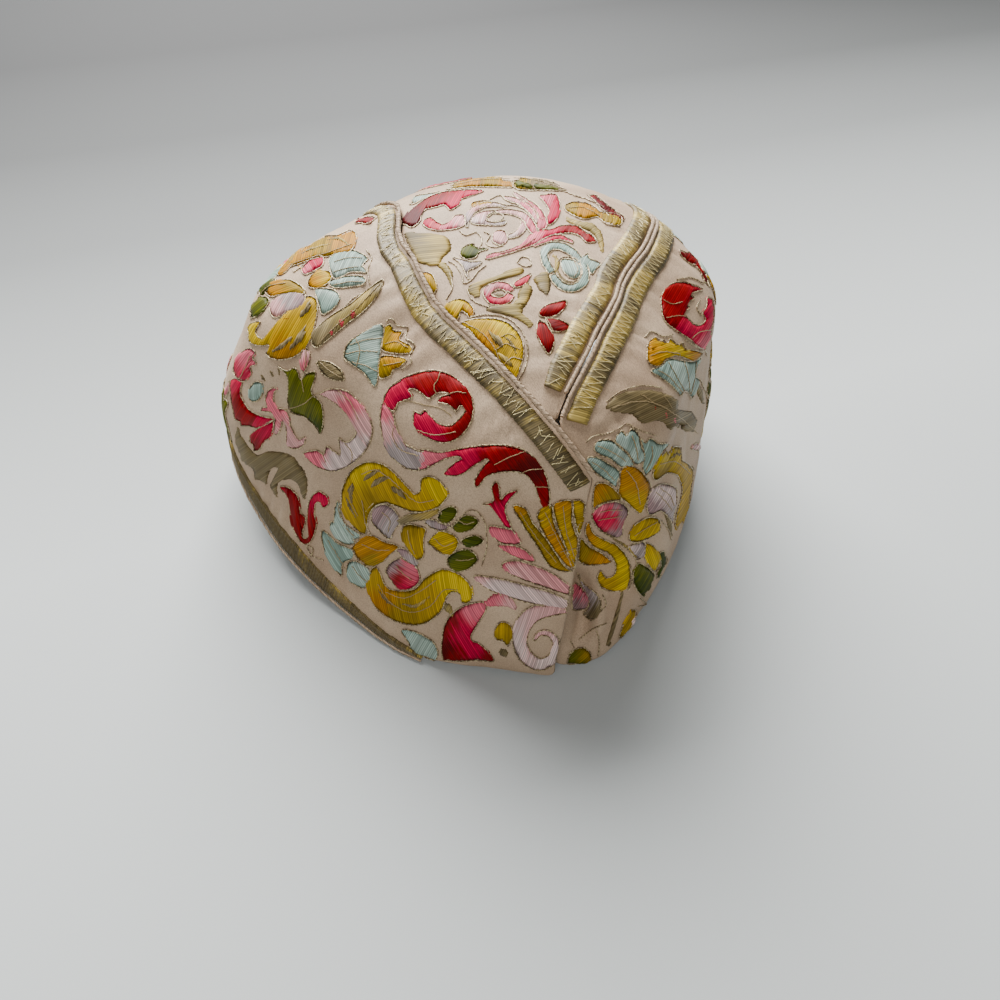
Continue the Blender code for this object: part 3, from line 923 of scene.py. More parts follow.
PATTERN_SPACING = {"crossed": 3, "zigzag": 4, "twill": 3}
FINE_STITCH = 0.075 * MM
FINE_LIFT = 0.27 * MM
fine_gold = plain_thread("fine_gold_stitch", (206, 190, 138), 0.45, 0.3)
fine_bronze = plain_thread("fine_bronze_stitch", (122, 110, 84), 0.7, 0.1)
WHIP_STITCH = 0.10 * MM
WHIP_LIFT = 0.05 * MM
whip_thread = plain_thread("whipping_thread", (132, 112, 86), 0.6, 0.0)
WHIP_EVERY = 3
WHIP_TURNS = [radians(turn) for turn in (-30, 30, 90, 150, 200)]
# Folds: how far out of the band and how far up the folded edge lies, and its radius.
HEM_FOLD = (0.5 * MM, 0.45 * MM, 0.32 * MM)
SEAM_FOLDS = {
    "left_side": (1.35 * MM, 0.50 * MM, 0.50 * MM),
    "crown_gore": (1.1 * MM, 0.25 * MM, 0.46 * MM),
    "right_side": (1.1 * MM, 0.25 * MM, 0.46 * MM),
}
for band, cloth_under, brightness, pattern in METAL_BANDS:
    left_rail, right_rail = rails_of(band, cloth_under)
    tree = cloth_trees[cloth_under]
    normals = [tree.find_nearest((a + b) / 2)[1] for a, b in zip(left_rail, right_rail)]
    metal_threads(band, left_rail, right_rail, normals, brightness)
    fine_stitches(band, left_rail, right_rail, normals, pattern)
    whipped_fold(band, cloth_under, left_rail, right_rail, normals)


# Left side, upper half. A yellow flower lies at the edge with blue fans and leaves round it, worked in
# satin stitch over padding and outlined with couched cord.
EDGE_FLOWER = (
    (75, (("mustard", 280, 266), ("ochre", 300, 252), ("mustard", 320, 245), ("ochre", 345, 240)), (
        (272, 266), (291, 252), (312, 238), (333, 230), (354, 232), (356, 243), (347, 255), (330, 257),
        (316, 259), (295, 266), (281, 271),
    )),
    (120, (("pink", 305, 272), ("rose", 318, 262)), (
        (302, 269), (312, 259), (323, 257), (323, 266), (312, 273), (305, 275),
    )),
    (20, (("ochre", 312, 284), ("yellow", 328, 276)), (
        (309, 280), (319, 271), (331, 273), (331, 281), (321, 288), (310, 288),
    )),
    (20, (("ochre", 272, 292), ("mustard", 298, 290)), (
        (267, 287), (288, 280), (302, 287), (305, 294), (288, 294), (270, 297),
    )),
    (60, (("blush", 276, 308), ("silver", 290, 300), ("mauve", 300, 298)), (
        (274, 301), (291, 290), (305, 294), (302, 308), (284, 315), (275, 318), (270, 311),
    )),
    (60, (
        ("lemon", 252, 335), ("yellow", 262, 345), ("ochre", 285, 350), ("yellow", 300, 335),
        ("yellow", 312, 305),
    ), (
        (249, 336), (250, 325), (261, 322), (256, 332), (263, 339), (270, 332), (284, 315), (302, 301),
        (309, 296), (317, 301), (317, 318), (309, 343), (295, 357), (277, 360), (267, 355), (270, 346),
        (260, 346), (251, 343),
    )),
    (40, "forest green", ((253, 290), (263, 276), (275, 273), (275, 283), (263, 294), (253, 297))),
    (40, "green forest", ((247, 308), (260, 297), (270, 301), (260, 315), (249, 318))),
    (40, "lemon yellow", ((258, 274), (267, 266), (270, 271), (263, 278))),
    (65, "blue ice", (
        (330, 259), (344, 250), (358, 252), (368, 259), (363, 266), (367, 273), (351, 273), (337, 280),
        (331, 273),
    )),
    (65, "ice blue", ((331, 281), (351, 276), (365, 278), (363, 285), (347, 288), (333, 288))),
    (65, "ice blue", ((316, 290), (333, 290), (340, 297), (335, 308), (323, 315), (319, 304))),
)
EDGE_FLOWER_TWILL = (
    (65, "khaki tan", ((272, 352, 1), (282, 346, 5), (292, 336, 1))),
    (65, "khaki tan", ((290, 350, 1), (300, 338, 5), (306, 324, 1))),
    (65, "tan khaki", ((300, 318, 1), (307, 309, 4), (311, 300, 1))),
    (75, "tan gold", ((296, 256, 1), (312, 248, 4), (330, 244, 1))),
    (75, "khaki gold", ((322, 240, 1), (338, 238, 4), (350, 246, 1))),
)
needlework("left_edge_flower", "left_side", EDGE_FLOWER, bare=EDGE_FLOWER_TWILL, veins=(
    ((334, 262), (348, 258), (362, 258)), ((334, 272), (348, 268), (363, 267)),
    ((334, 285), (350, 282), (363, 282)),
    ((282, 268), (304, 260), (330, 252), (352, 244)), ((262, 292), (270, 286), (286, 283)),
), lines=(((366, 250), (372, 258), (368, 270), (370, 284)), ((342, 312), (352, 300), (366, 292))))
STRAW_LEAF = (
    (65, (("tan", 320, 340), ("straw", 345, 315), ("gold", 362, 300), ("khaki", 378, 286)), (
        (312, 341), (317, 329), (333, 315), (351, 304), (368, 290), (383, 280), (379, 294), (365, 311),
        (347, 325), (330, 339), (317, 348),
    )),
    (20, "khaki tan khaki", ((318, 362, 4), (328, 369, 14), (338, 375, 12), (344, 380, 3))),
)
EDGE_LEAVES = (
    (40, "wine crimson wine", ((351, 225, 2), (360, 221, 8), (368, 220, 8), (378, 216, 2))),
    (55, (("rose", 240, 378), ("pink", 252, 352)), (
        (243, 352), (250, 348), (256, 353), (253, 358), (257, 364), (251, 367), (252, 374), (243, 382),
        (234, 374), (236, 360),
    )),
    (60, (("rose", 236, 386), ("crimson", 238, 402), ("crimson", 250, 416), ("rose", 264, 421)), (
        (232, 380), (231, 397), (234, 413), (235, 419), (241, 422), (241, 426), (248, 426), (257, 428),
        (264, 426), (274, 419), (263, 416), (252, 411), (244, 401), (241, 391), (243, 380),
    )),
    (60, (("rose", 268, 428), ("crimson", 257, 446)), (
        (274, 421), (271, 437), (264, 441), (262, 447), (258, 451), (254, 450), (254, 446), (250, 441),
        (251, 435), (255, 431), (263, 425),
    )),
    (70, (("green", 290, 385), ("green", 318, 405), ("forest", 318, 430)), (
        (278, 366), (286, 374), (289, 383), (288, 402), (292, 413), (305, 417), (316, 427), (321, 434),
        (324, 417), (321, 402), (312, 392), (316, 378), (315, 372), (305, 374), (302, 380), (296, 368),
        (287, 371),
    )),
    (120, "pink blush pink", (
        (272, 388), (278, 389), (275, 392), (274, 401), (277, 408), (282, 408), (287, 411), (290, 418),
        (291, 426), (294, 432), (296, 437), (300, 439), (305, 437), (305, 443), (300, 448), (292, 448),
        (287, 443), (287, 434), (286, 424), (283, 421), (281, 429), (277, 435), (274, 430), (275, 422),
        (276, 415), (270, 412), (262, 411), (263, 407), (268, 407), (266, 400), (267, 393),
    )),
    (90, "blue", (
        (251, 401), (250, 391), (252, 385), (257, 381), (263, 384), (263, 393), (259, 400), (254, 402),
    )),
    (100, "blush pink", ((305, 347, 3), (306, 356, 9), (305, 366, 6), (304, 372, 2))),
)
DOTS = (
    (30, "khaki", ((261, 375, 1), (263, 378, 4), (265, 381, 1))),
    (30, "khaki", ((270, 371, 1), (272, 374, 4), (273, 377, 1))),
    (30, "khaki", ((278, 369, 1), (279, 372, 3), (279, 375, 1))),
)
CORAL_DOTS = (
    (0, "coral", ((339, 321), (342, 320), (345, 323), (343, 327), (339, 325))),
    (0, "coral", ((350, 313), (353, 311), (356, 314), (354, 318), (350, 317))),
    (0, "coral", ((330, 331), (332, 330), (334, 333), (332, 335), (330, 334))),
)
needlework("left_edge_leaves", "left_side", EDGE_LEAVES, bare=DOTS, veins=(
    ((285, 410), (295, 407), (305, 403), (316, 394), (328, 392)), ((302, 380), (303, 386), (304, 392)),
    ((250, 356), (246, 366), (240, 378)), ((306, 349), (306, 358), (305, 368)),
))
needlework("left_straw_leaf", "left_side", STRAW_LEAF, bare=CORAL_DOTS, veins=(
    ((318, 344), (336, 326), (356, 309), (380, 284)), ((320, 362), (330, 371), (342, 378)),
))

# Left side. A bell flower hangs beside the seam, one half in blue silk and one in yellow. Pale veins are
# laid over it, and cord is couched round it.
BELL_FLOWER = (
    (15, (("blue", 350, 350), ("ice", 372, 340), ("blue", 375, 375)), (
        (344, 357), (349, 343), (365, 332), (382, 325), (384, 336), (381, 353), (379, 374), (375, 387),
        (365, 374), (351, 364),
    )),
    (60, (("yellow", 388, 330), ("ochre", 402, 336), ("yellow", 400, 350)), (
        (384, 336), (386, 327), (391, 325), (395, 331), (403, 332), (400, 339), (405, 343), (411, 346),
        (412, 353), (396, 354), (382, 350),
    )),
    (110, (("ochre", 395, 362), ("mustard", 384, 374), ("yellow", 405, 361)), (
        (381, 357), (396, 357), (407, 360), (402, 366), (400, 368), (393, 371), (391, 376), (382, 379),
        (379, 374),
    )),
)
BELL_VEINS = (
    ((346, 354), (360, 351), (378, 352)), ((350, 345), (366, 340), (382, 338)),
    ((352, 362), (366, 366), (378, 372)),
    ((356, 338), (360, 350), (357, 366)), ((385, 344), (396, 342), (408, 348)),
    ((383, 366), (394, 364), (402, 362)),
)
needlework("left_bell", "left_side", BELL_FLOWER, veins=BELL_VEINS, lines=(
    (
        (386, 322), (392, 319), (398, 326), (408, 328), (406, 338), (415, 345), (410, 356), (412, 362),
        (402, 370),
    ),
))

# Left side. A crimson scroll of satin stitch curls round itself under the seam. Its stem runs out to the
# nape and ends in a rose sprig.
SPIRAL = (
    (120, (
        ("pink", 384, 425), ("rose", 392, 402), ("crimson", 430, 378), ("crimson", 468, 400),
        ("crimson", 460, 425), ("rose", 425, 430), ("rose", 415, 415),
    ), (
        (439, 371), (456, 378), (469, 392), (474, 408), (470, 425), (459, 438), (444, 443), (428, 438),
        (416, 428), (414, 412), (421, 414), (425, 410), (432, 417), (440, 424), (452, 425), (462, 416),
        (466, 409), (461, 406), (456, 412), (452, 407), (446, 404), (438, 402), (441, 397), (450, 394),
        (440, 393), (434, 396), (430, 399), (426, 397), (421, 393), (416, 390), (409, 390), (413, 397),
        (404, 401), (398, 404), (396, 411), (390, 409), (384, 400), (390, 388), (404, 378), (421, 372),
    )),
    (120, (("silver", 398, 455), ("blush", 388, 430), ("pink", 386, 415)), (
        (384, 402), (391, 411), (394, 415), (396, 424), (402, 440), (415, 449), (426, 453), (428, 468),
        (412, 470), (398, 462), (386, 445), (381, 425), (381, 411),
    )),
    (125, (
        ("pink", 420, 462), ("pink", 440, 460), ("rose", 462, 455), ("crimson", 500, 452),
        ("wine", 530, 470), ("crimson", 545, 495), ("rose", 455, 472), ("crimson", 480, 482),
    ), (
        (420, 450), (440, 452), (462, 448), (488, 445), (512, 446), (530, 454), (543, 470), (549, 488),
        (549, 510), (540, 500), (533, 482), (522, 473), (505, 472), (488, 476), (478, 487), (475, 480),
        (482, 468), (490, 458), (476, 465), (463, 474), (450, 476), (444, 473), (455, 462), (464, 457),
        (448, 458), (432, 466), (420, 469),
    )),
    (120, (("crimson", 496, 488), ("rose", 508, 508), ("rose", 500, 520)), (
        (492, 486), (497, 481), (500, 488), (501, 499), (507, 493), (518, 490), (511, 498), (506, 506),
        (507, 516), (512, 527), (506, 527), (499, 516), (491, 506), (483, 504), (493, 501), (493, 494),
    )),
    (120, "pink", ((489, 526), (506, 528), (513, 530), (521, 543), (506, 544), (496, 539))),
    (120, "pink", ((498, 545), (513, 545), (526, 550), (535, 561), (524, 560), (508, 553))),
)
SPIRAL_VEINS = (
    ((440, 373), (438, 380), (434, 386), (436, 393)),
    ((447, 395), (456, 392), (466, 393)),
    ((417, 430), (435, 435), (456, 432)),
    ((494, 465), (508, 458), (524, 452)),
    ((519, 474), (530, 470), (542, 469)),
    ((535, 487), (540, 487), (548, 487)),
    ((394, 409), (402, 402), (414, 402), (424, 405), (440, 408), (452, 416)),
    ((395, 422), (393, 436), (400, 449), (418, 456)),
)
needlework("left_spiral", "left_side", SPIRAL, veins=SPIRAL_VEINS)

# Left side. A pale pink crescent, and a scroll of dull gold thread that climbs from the hem with a
# crimson hook beside it.
needlework(
    "left_crescent", "left_side",
    (
        (120, (
            ("blush", 335, 394), ("pink", 350, 404), ("blush", 366, 425), ("shell", 358, 446),
            ("shell", 340, 462), ("pink", 315, 458),
        ), (
            (320, 394), (330, 389), (345, 390), (359, 401), (368, 414), (373, 430), (368, 447), (357, 460),
            (343, 469), (330, 471), (317, 466), (304, 454), (310, 451), (318, 450), (324, 454), (327, 446),
            (334, 451), (341, 454), (339, 438), (345, 442), (351, 440), (356, 434), (356, 426), (349, 416),
            (338, 405), (326, 397),
        )),
    ),
    veins=(
        ((338, 391), (350, 402), (358, 420)),
        ((345, 444), (352, 452), (352, 462)),
        ((322, 452), (326, 462)),
    ),
)
HEM_SCROLL = (
    (35, "khaki", (
        (238, 427), (241, 435), (248, 445), (257, 455), (269, 451), (282, 452), (294, 457), (304, 470),
        (308, 484), (305, 499), (301, 495), (299, 487), (294, 481), (284, 480), (277, 486), (278, 497),
        (274, 494), (270, 486), (274, 476), (278, 469), (273, 468), (269, 474), (266, 485), (262, 481),
        (254, 479), (253, 470), (244, 463), (237, 455), (234, 443),
    )),
    (100, (
        ("crimson", 295, 510), ("crimson", 303, 535), ("crimson", 312, 522), ("rose", 318, 496),
        ("rose", 326, 502),
    ), (
        (280, 487), (288, 487), (296, 493), (300, 502), (301, 512), (306, 518), (304, 529), (302, 535),
        (306, 538), (310, 533), (308, 522), (308, 512), (309, 502), (313, 495), (320, 491), (328, 497),
        (329, 504), (324, 508), (320, 502), (316, 504), (315, 514), (317, 523), (315, 533), (310, 543),
        (302, 543), (296, 533), (292, 522), (291, 510), (288, 497),
    )),
)
needlework("left_hem_scroll", "left_side", HEM_SCROLL[1:], bare=HEM_SCROLL[:1], lines=(
    ((305, 560), (312, 555), (313, 548), (307, 546), (313, 556), (324, 560)),
    ((294, 512), (302, 513)),
))

# Left side. The large yellow flower has two scrolls round a knot of ochre bars, with blue leaves and a
# row of green ones, all in satin stitch with cord round them.
LARGE_FLOWER = (
    (115, (
        ("yellow", 346, 495), ("lemon", 365, 468), ("yellow", 385, 480), ("mustard", 375, 500),
        ("yellow", 420, 500), ("lemon", 438, 488),
    ), (
        (365, 535), (352, 524), (343, 509), (342, 493), (345, 481), (353, 469), (366, 462), (380, 463),
        (391, 469), (401, 479), (410, 489), (415, 494), (421, 489), (421, 479), (428, 476), (438, 479),
        (446, 488), (449, 494), (444, 502), (436, 509), (423, 512), (410, 511), (396, 506), (386, 503),
        (376, 506), (370, 514), (368, 524),
    )),
    (100, (
        ("yellow", 372, 580), ("ochre", 380, 600), ("mustard", 405, 612), ("yellow", 430, 600),
        ("lemon", 455, 580),
    ), (
        (375, 566), (368, 576), (368, 588), (375, 606), (389, 618), (410, 625), (428, 622), (442, 610),
        (447, 597), (453, 592), (461, 594), (462, 602), (470, 602), (473, 590), (463, 576), (446, 569),
        (436, 571), (425, 578), (414, 589), (396, 590), (386, 585), (381, 573),
    )),
    (60, (("mauve", 378, 515), ("silver", 392, 525)), (
        (375, 508), (386, 504), (396, 511), (401, 522), (395, 529), (390, 539), (380, 531), (372, 521),
    )),
    (100, (("mustard", 408, 530), ("yellow", 418, 545)), (
        (403, 527), (409, 524), (417, 525), (426, 529), (424, 540), (424, 556), (416, 560), (408, 549),
        (403, 538),
    )),
    (20, "lemon yellow", (
        (428, 542), (440, 531), (453, 534), (459, 542), (454, 552), (443, 554), (433, 547),
    )),
    (25, (("ochre", 365, 548), ("ochre", 385, 550), ("mustard", 375, 560)), (
        (353, 546), (363, 538), (372, 535), (384, 541), (399, 546), (391, 554), (382, 562), (368, 566),
        (359, 560), (354, 552),
    )),
    (150, (("rose", 404, 581), ("crimson", 400, 576), ("pink", 412, 568), ("mauve", 393, 563)), (
        (389, 564), (399, 558), (408, 562), (418, 569), (420, 581), (410, 589), (399, 588), (391, 579),
        (386, 571),
    )),
    (30, "tan gold", ((396, 524, 4), (410, 518, 8), (426, 515, 8), (440, 509, 4))),
    (100, "silver mauve", ((426, 520, 4), (434, 524, 9), (444, 527, 7), (450, 524, 3))),
    (110, "mauve silver", ((398, 549, 3), (404, 552, 8), (412, 560, 8), (418, 566, 3))),
    (170, "forest green", (
        (438, 516), (443, 509), (453, 506), (458, 511), (454, 519), (446, 524), (440, 521),
    )),
    (170, "forest green", (
        (453, 524), (463, 516), (473, 516), (479, 521), (473, 529), (463, 532), (454, 530),
    )),
    (170, "green forest", ((461, 541), (469, 536), (479, 536), (484, 541), (476, 546), (466, 546))),
    (170, "forest green", (
        (447, 559), (455, 552), (466, 549), (475, 553), (478, 560), (470, 568), (459, 571), (450, 567),
    )),
    (120, "blue ice", (
        (338, 500), (335, 510), (335, 522), (342, 531), (351, 540), (361, 536), (353, 529), (347, 525),
        (342, 516), (340, 506),
    )),
    (120, "ice", (
        (330, 522), (332, 529), (338, 539), (345, 544), (353, 544), (355, 539), (347, 533), (342, 525),
        (336, 522),
    )),
    (120, "blue", (
        (322, 530), (323, 543), (330, 560), (342, 576), (343, 564), (353, 558), (353, 550), (345, 546),
        (338, 543), (330, 535),
    )),
    (120, "blue ice", (
        (349, 562), (347, 573), (353, 583), (364, 588), (372, 583), (370, 571), (366, 566), (357, 561),
    )),
)
LARGE_FLOWER_TWILL = (
    (60, "khaki", ((354, 483, 1), (351, 492, 5), (352, 503, 1))),
    (60, "khaki", ((346, 497, 1), (350, 507, 4), (356, 518, 1))),
    (60, "khaki tan", ((364, 481, 1), (372, 474, 5), (380, 469, 1))),
    (60, "tan khaki", ((371, 488, 1), (380, 480, 6), (390, 477, 1))),
    (120, "khaki", ((392, 486, 1), (399, 492, 5), (406, 500, 1))),
    (60, "khaki", ((378, 590, 1), (386, 600, 4), (396, 607, 1))),
    (60, "tan gold", ((402, 604, 1), (416, 606, 4), (430, 596, 1))),
)
LARGE_FLOWER_VEINS = (
    ((352, 484), (350, 498), (358, 516)),
    ((362, 474), (376, 470), (392, 480), (404, 492), (418, 502), (434, 500)),
    ((362, 500), (364, 512), (366, 526)),
    ((378, 584), (390, 602), (410, 612), (430, 606), (444, 590), (458, 590)),
    ((386, 592), (404, 598), (422, 590), (436, 580)), ((408, 530), (410, 542), (415, 554)),
    ((434, 538), (444, 546), (454, 542)), ((362, 544), (376, 550), (390, 550)),
    ((382, 512), (390, 520), (388, 532)),
    ((396, 566), (404, 574), (412, 580)), ((458, 520), (466, 524), (474, 522)),
    ((456, 560), (466, 560), (474, 558)),
    ((338, 506), (342, 522), (354, 536)), ((328, 540), (338, 556), (346, 570)),
    ((352, 566), (360, 576), (368, 582)),
)
needlework(
    "left_large_flower", "left_side", LARGE_FLOWER,
    bare=LARGE_FLOWER_TWILL,
    veins=LARGE_FLOWER_VEINS,
    lines=(
        ((374, 503), (366, 512), (365, 524)),
        ((440, 508), (450, 527), (470, 510), (484, 520), (487, 545), (482, 566)),
        ((352, 500), (364, 520), (372, 536)),
    ),
)

# Left side, nape. A yellow bud lies at the tuck, and below it are the pink leaves, the crimson leaf and
# the pale scroll, in satin stitch.
needlework(
    "left_nape_bud", "left_side",
    (
        (35, "ochre mustard", (
            (513, 506), (526, 508), (533, 522), (547, 539), (563, 564), (572, 571), (551, 567), (537, 546),
            (523, 525),
        )),
        (35, "yellow ochre", (
            (537, 515), (551, 504), (554, 522), (565, 546), (575, 567), (565, 564), (547, 539),
        )),
        (30, "ochre yellow", (
            (554, 504), (572, 501), (572, 522), (579, 543), (581, 564), (572, 567), (565, 546), (556, 522),
        )),
        (20, "yellow mustard", ((572, 501), (584, 502), (589, 518), (584, 532), (579, 536), (574, 518))),
    ),
    veins=(
        ((520, 512), (535, 535), (556, 562)),
        ((545, 512), (558, 540), (570, 562)),
        ((563, 506), (566, 530), (574, 556)),
        ((532, 524), (544, 520)),
        ((548, 536), (562, 530)),
        ((560, 552), (576, 548)),
    ),
)
needlework("left_nape_leaves", "left_side", (
    (130, "pink blush", (
        (502, 564), (516, 560), (537, 566), (554, 574), (572, 588), (570, 595), (548, 588), (525, 580),
        (508, 572),
    )),
    (130, "blush shell", (
        (474, 576), (498, 578), (526, 585), (551, 592), (570, 602), (568, 609), (544, 606), (516, 599),
        (491, 590),
    )),
    (120, (
        ("wine", 444, 650), ("crimson", 448, 625), ("crimson", 458, 656), ("rose", 464, 630),
        ("pink", 478, 608), ("rose", 474, 648), ("crimson", 488, 658),
    ), (
        (443, 658), (442, 641), (446, 622), (455, 611), (468, 604), (484, 602), (486, 610), (478, 624),
        (471, 638), (481, 644), (490, 653), (494, 661), (478, 660), (462, 661), (450, 660),
    )),
    (90, "yellow mustard", (
        (495, 630), (500, 622), (510, 624), (512, 636), (508, 646), (503, 641), (496, 639),
    )),
    (70, "blush shell shell blush", (
        (566, 610, 6), (550, 610, 12), (533, 614, 16), (522, 627, 16), (520, 643, 14), (527, 657, 14),
        (540, 664, 12), (552, 658, 10), (557, 645, 8), (550, 634, 6), (540, 633, 5), (534, 640, 3),
    )),
    (60, "blue ice", ((402, 630), (417, 632), (433, 641), (438, 655), (428, 664), (410, 657), (410, 645))),
), bare=(
    (60, "tan straw", ((440, 600, 2), (448, 608, 8), (452, 616, 2))),
    (60, "khaki", ((500, 650), (504, 648), (508, 652), (505, 657), (500, 655))),
    (120, "pink blush", ((486, 604, 6), (497, 600, 14), (508, 602, 10), (516, 610, 2))),
))

# Crown, far edge. An ochre and green flower, a crimson scroll with a pale one beside it, and a rose stem,
# in satin stitch with cord round them.
CROWN_SCROLLS = (
    (75, (("mustard", 448, 186), ("ochre", 470, 181), ("mustard", 490, 179), ("ochre", 508, 180)), (
        (440, 189), (451, 180), (473, 174), (506, 172), (512, 174), (513, 187), (506, 188), (473, 188),
        (451, 190),
    )),
    (75, (("mustard", 520, 176), ("khaki", 540, 180), ("khaki", 560, 187)), (
        (513, 173), (536, 175), (556, 180), (567, 186), (564, 191), (546, 191), (526, 191), (514, 188),
    )),
    (60, "blue ice", (
        (407, 204), (413, 196), (423, 194), (436, 192), (440, 193), (430, 197), (421, 201), (413, 205),
    )),
    (60, (
        ("wine", 405, 224), ("wine", 415, 214), ("crimson", 430, 204), ("crimson", 446, 198),
        ("rose", 470, 193), ("rose", 452, 206),
    ), (
        (402, 224), (409, 213), (418, 205), (430, 197), (446, 192), (466, 190), (483, 191), (479, 194),
        (470, 197), (460, 201), (461, 204), (456, 208), (450, 211), (445, 206), (436, 208), (425, 211),
        (421, 217), (421, 221), (416, 226), (411, 228), (405, 225),
    )),
    (60, (("rose", 427, 224), ("coral", 435, 228), ("pink", 446, 228), ("blush", 460, 220)), (
        (424, 221), (430, 218), (434, 220), (438, 223), (444, 225), (451, 221), (455, 216), (461, 215),
        (465, 217), (465, 225), (458, 229), (446, 231), (435, 231), (426, 228), (423, 225),
    )),
    (70, "ochre yellow", ((471, 209), (473, 203), (488, 201), (492, 204), (486, 207), (474, 210))),
    (70, (("blush", 500, 211), ("blush", 520, 213), ("pink", 534, 230)), (
        (496, 211), (513, 210), (526, 214), (533, 221), (537, 228), (539, 233), (533, 235), (528, 230),
        (524, 223), (519, 218), (509, 215), (499, 214),
    )),
    (70, (("shell", 476, 222), ("blush", 480, 213), ("silver", 500, 223)), (
        (471, 221), (479, 213), (496, 211), (489, 215), (486, 220), (494, 223), (506, 221), (503, 226),
        (486, 226), (474, 225),
    )),
    (70, (("blush", 515, 194), ("pink", 535, 208), ("pink", 543, 225)), (
        (513, 192), (523, 197), (533, 203), (542, 211), (547, 221), (546, 228), (539, 233), (536, 228),
        (539, 223), (536, 215), (528, 206), (518, 200),
    )),
    (70, (("pink", 543, 198), ("rose", 556, 205), ("rose", 552, 220)), (
        (539, 197), (546, 195), (556, 195), (560, 203), (559, 215), (554, 223), (548, 226), (546, 220),
        (549, 213), (546, 205),
    )),
    (60, (
        ("pink", 500, 253), ("pink", 520, 247), ("pink", 534, 238), ("rose", 550, 234),
        ("crimson", 566, 229), ("crimson", 592, 240),
    ), (
        (486, 260), (489, 255), (506, 251), (521, 245), (529, 236), (539, 230), (551, 230), (562, 226),
        (576, 226), (582, 230), (592, 236), (596, 242), (587, 243), (581, 238), (576, 235), (566, 234),
        (552, 236), (542, 241), (536, 245), (519, 251), (503, 256),
    )),
    (75, (("mustard", 570, 208), ("ochre", 585, 211), ("mustard", 612, 220)), (
        (564, 208), (571, 203), (584, 203), (596, 208), (601, 213), (612, 214), (621, 218), (620, 226),
        (607, 225), (597, 218), (584, 220), (571, 215),
    )),
    (45, (("crimson", 586, 194), ("wine", 602, 205), ("wine", 616, 215)), (
        (584, 192), (594, 192), (605, 203), (615, 211), (624, 217), (622, 221), (612, 218), (602, 210),
        (594, 201),
    )),
    (60, "blush pink blush", ((504, 198, 3), (518, 202, 6), (530, 210, 7), (539, 223, 4))),
    (60, "pink rose pink", ((534, 247, 2), (546, 241, 5), (560, 238, 5), (573, 243, 3))),
    (60, "silver blush shell", ((467, 228, 2), (468, 217, 5), (478, 208, 6), (492, 205, 5), (506, 207, 3))),
    (60, "shell blush", ((507, 238, 3), (516, 235, 6), (523, 228, 6), (522, 221, 3))),
    (60, "green forest", (
        (460, 255), (463, 248), (473, 244), (478, 248), (489, 249), (479, 253), (476, 258), (466, 260),
    )),
    (60, "blush", ((494, 233), (503, 231), (508, 238), (503, 245), (493, 243))),
    (60, "shell silver", (
        (453, 258), (458, 262), (463, 268), (466, 276), (470, 281), (468, 272), (476, 268), (482, 262),
        (470, 262),
    )),
)
needlework("crown_scrolls", "crown_gore", CROWN_SCROLLS, bare=(
    (20, "forest green", ((514, 184), (520, 181), (530, 183), (533, 187), (524, 188), (516, 187))),
    (20, "forest green", ((533, 186), (541, 183), (553, 186), (560, 189), (548, 190), (538, 189))),
), veins=(
    ((450, 186), (480, 180), (510, 179)), ((514, 178), (534, 180), (556, 186)),
    ((568, 208), (584, 208), (600, 216)),
    ((500, 254), (520, 248), (536, 238)), ((518, 196), (532, 206), (542, 220)),
), lines=(
    ((488, 218), (494, 214), (503, 216), (500, 221), (491, 222), (487, 219)),
    ((459, 231), (466, 236), (477, 233), (482, 242), (478, 250)),
    ((484, 232), (490, 236), (486, 244), (494, 248), (504, 246)),
    ((490, 200), (500, 196), (508, 202), (520, 206), (530, 214)),
    ((498, 207), (512, 206), (524, 210), (534, 219)),
    ((564, 192), (575, 196), (590, 201), (604, 208)),
    ((448, 262), (456, 266), (462, 276), (464, 284), (472, 280), (478, 272), (486, 266)),
    ((517, 263), (521, 258), (529, 259), (531, 266), (524, 267), (518, 264)),
))

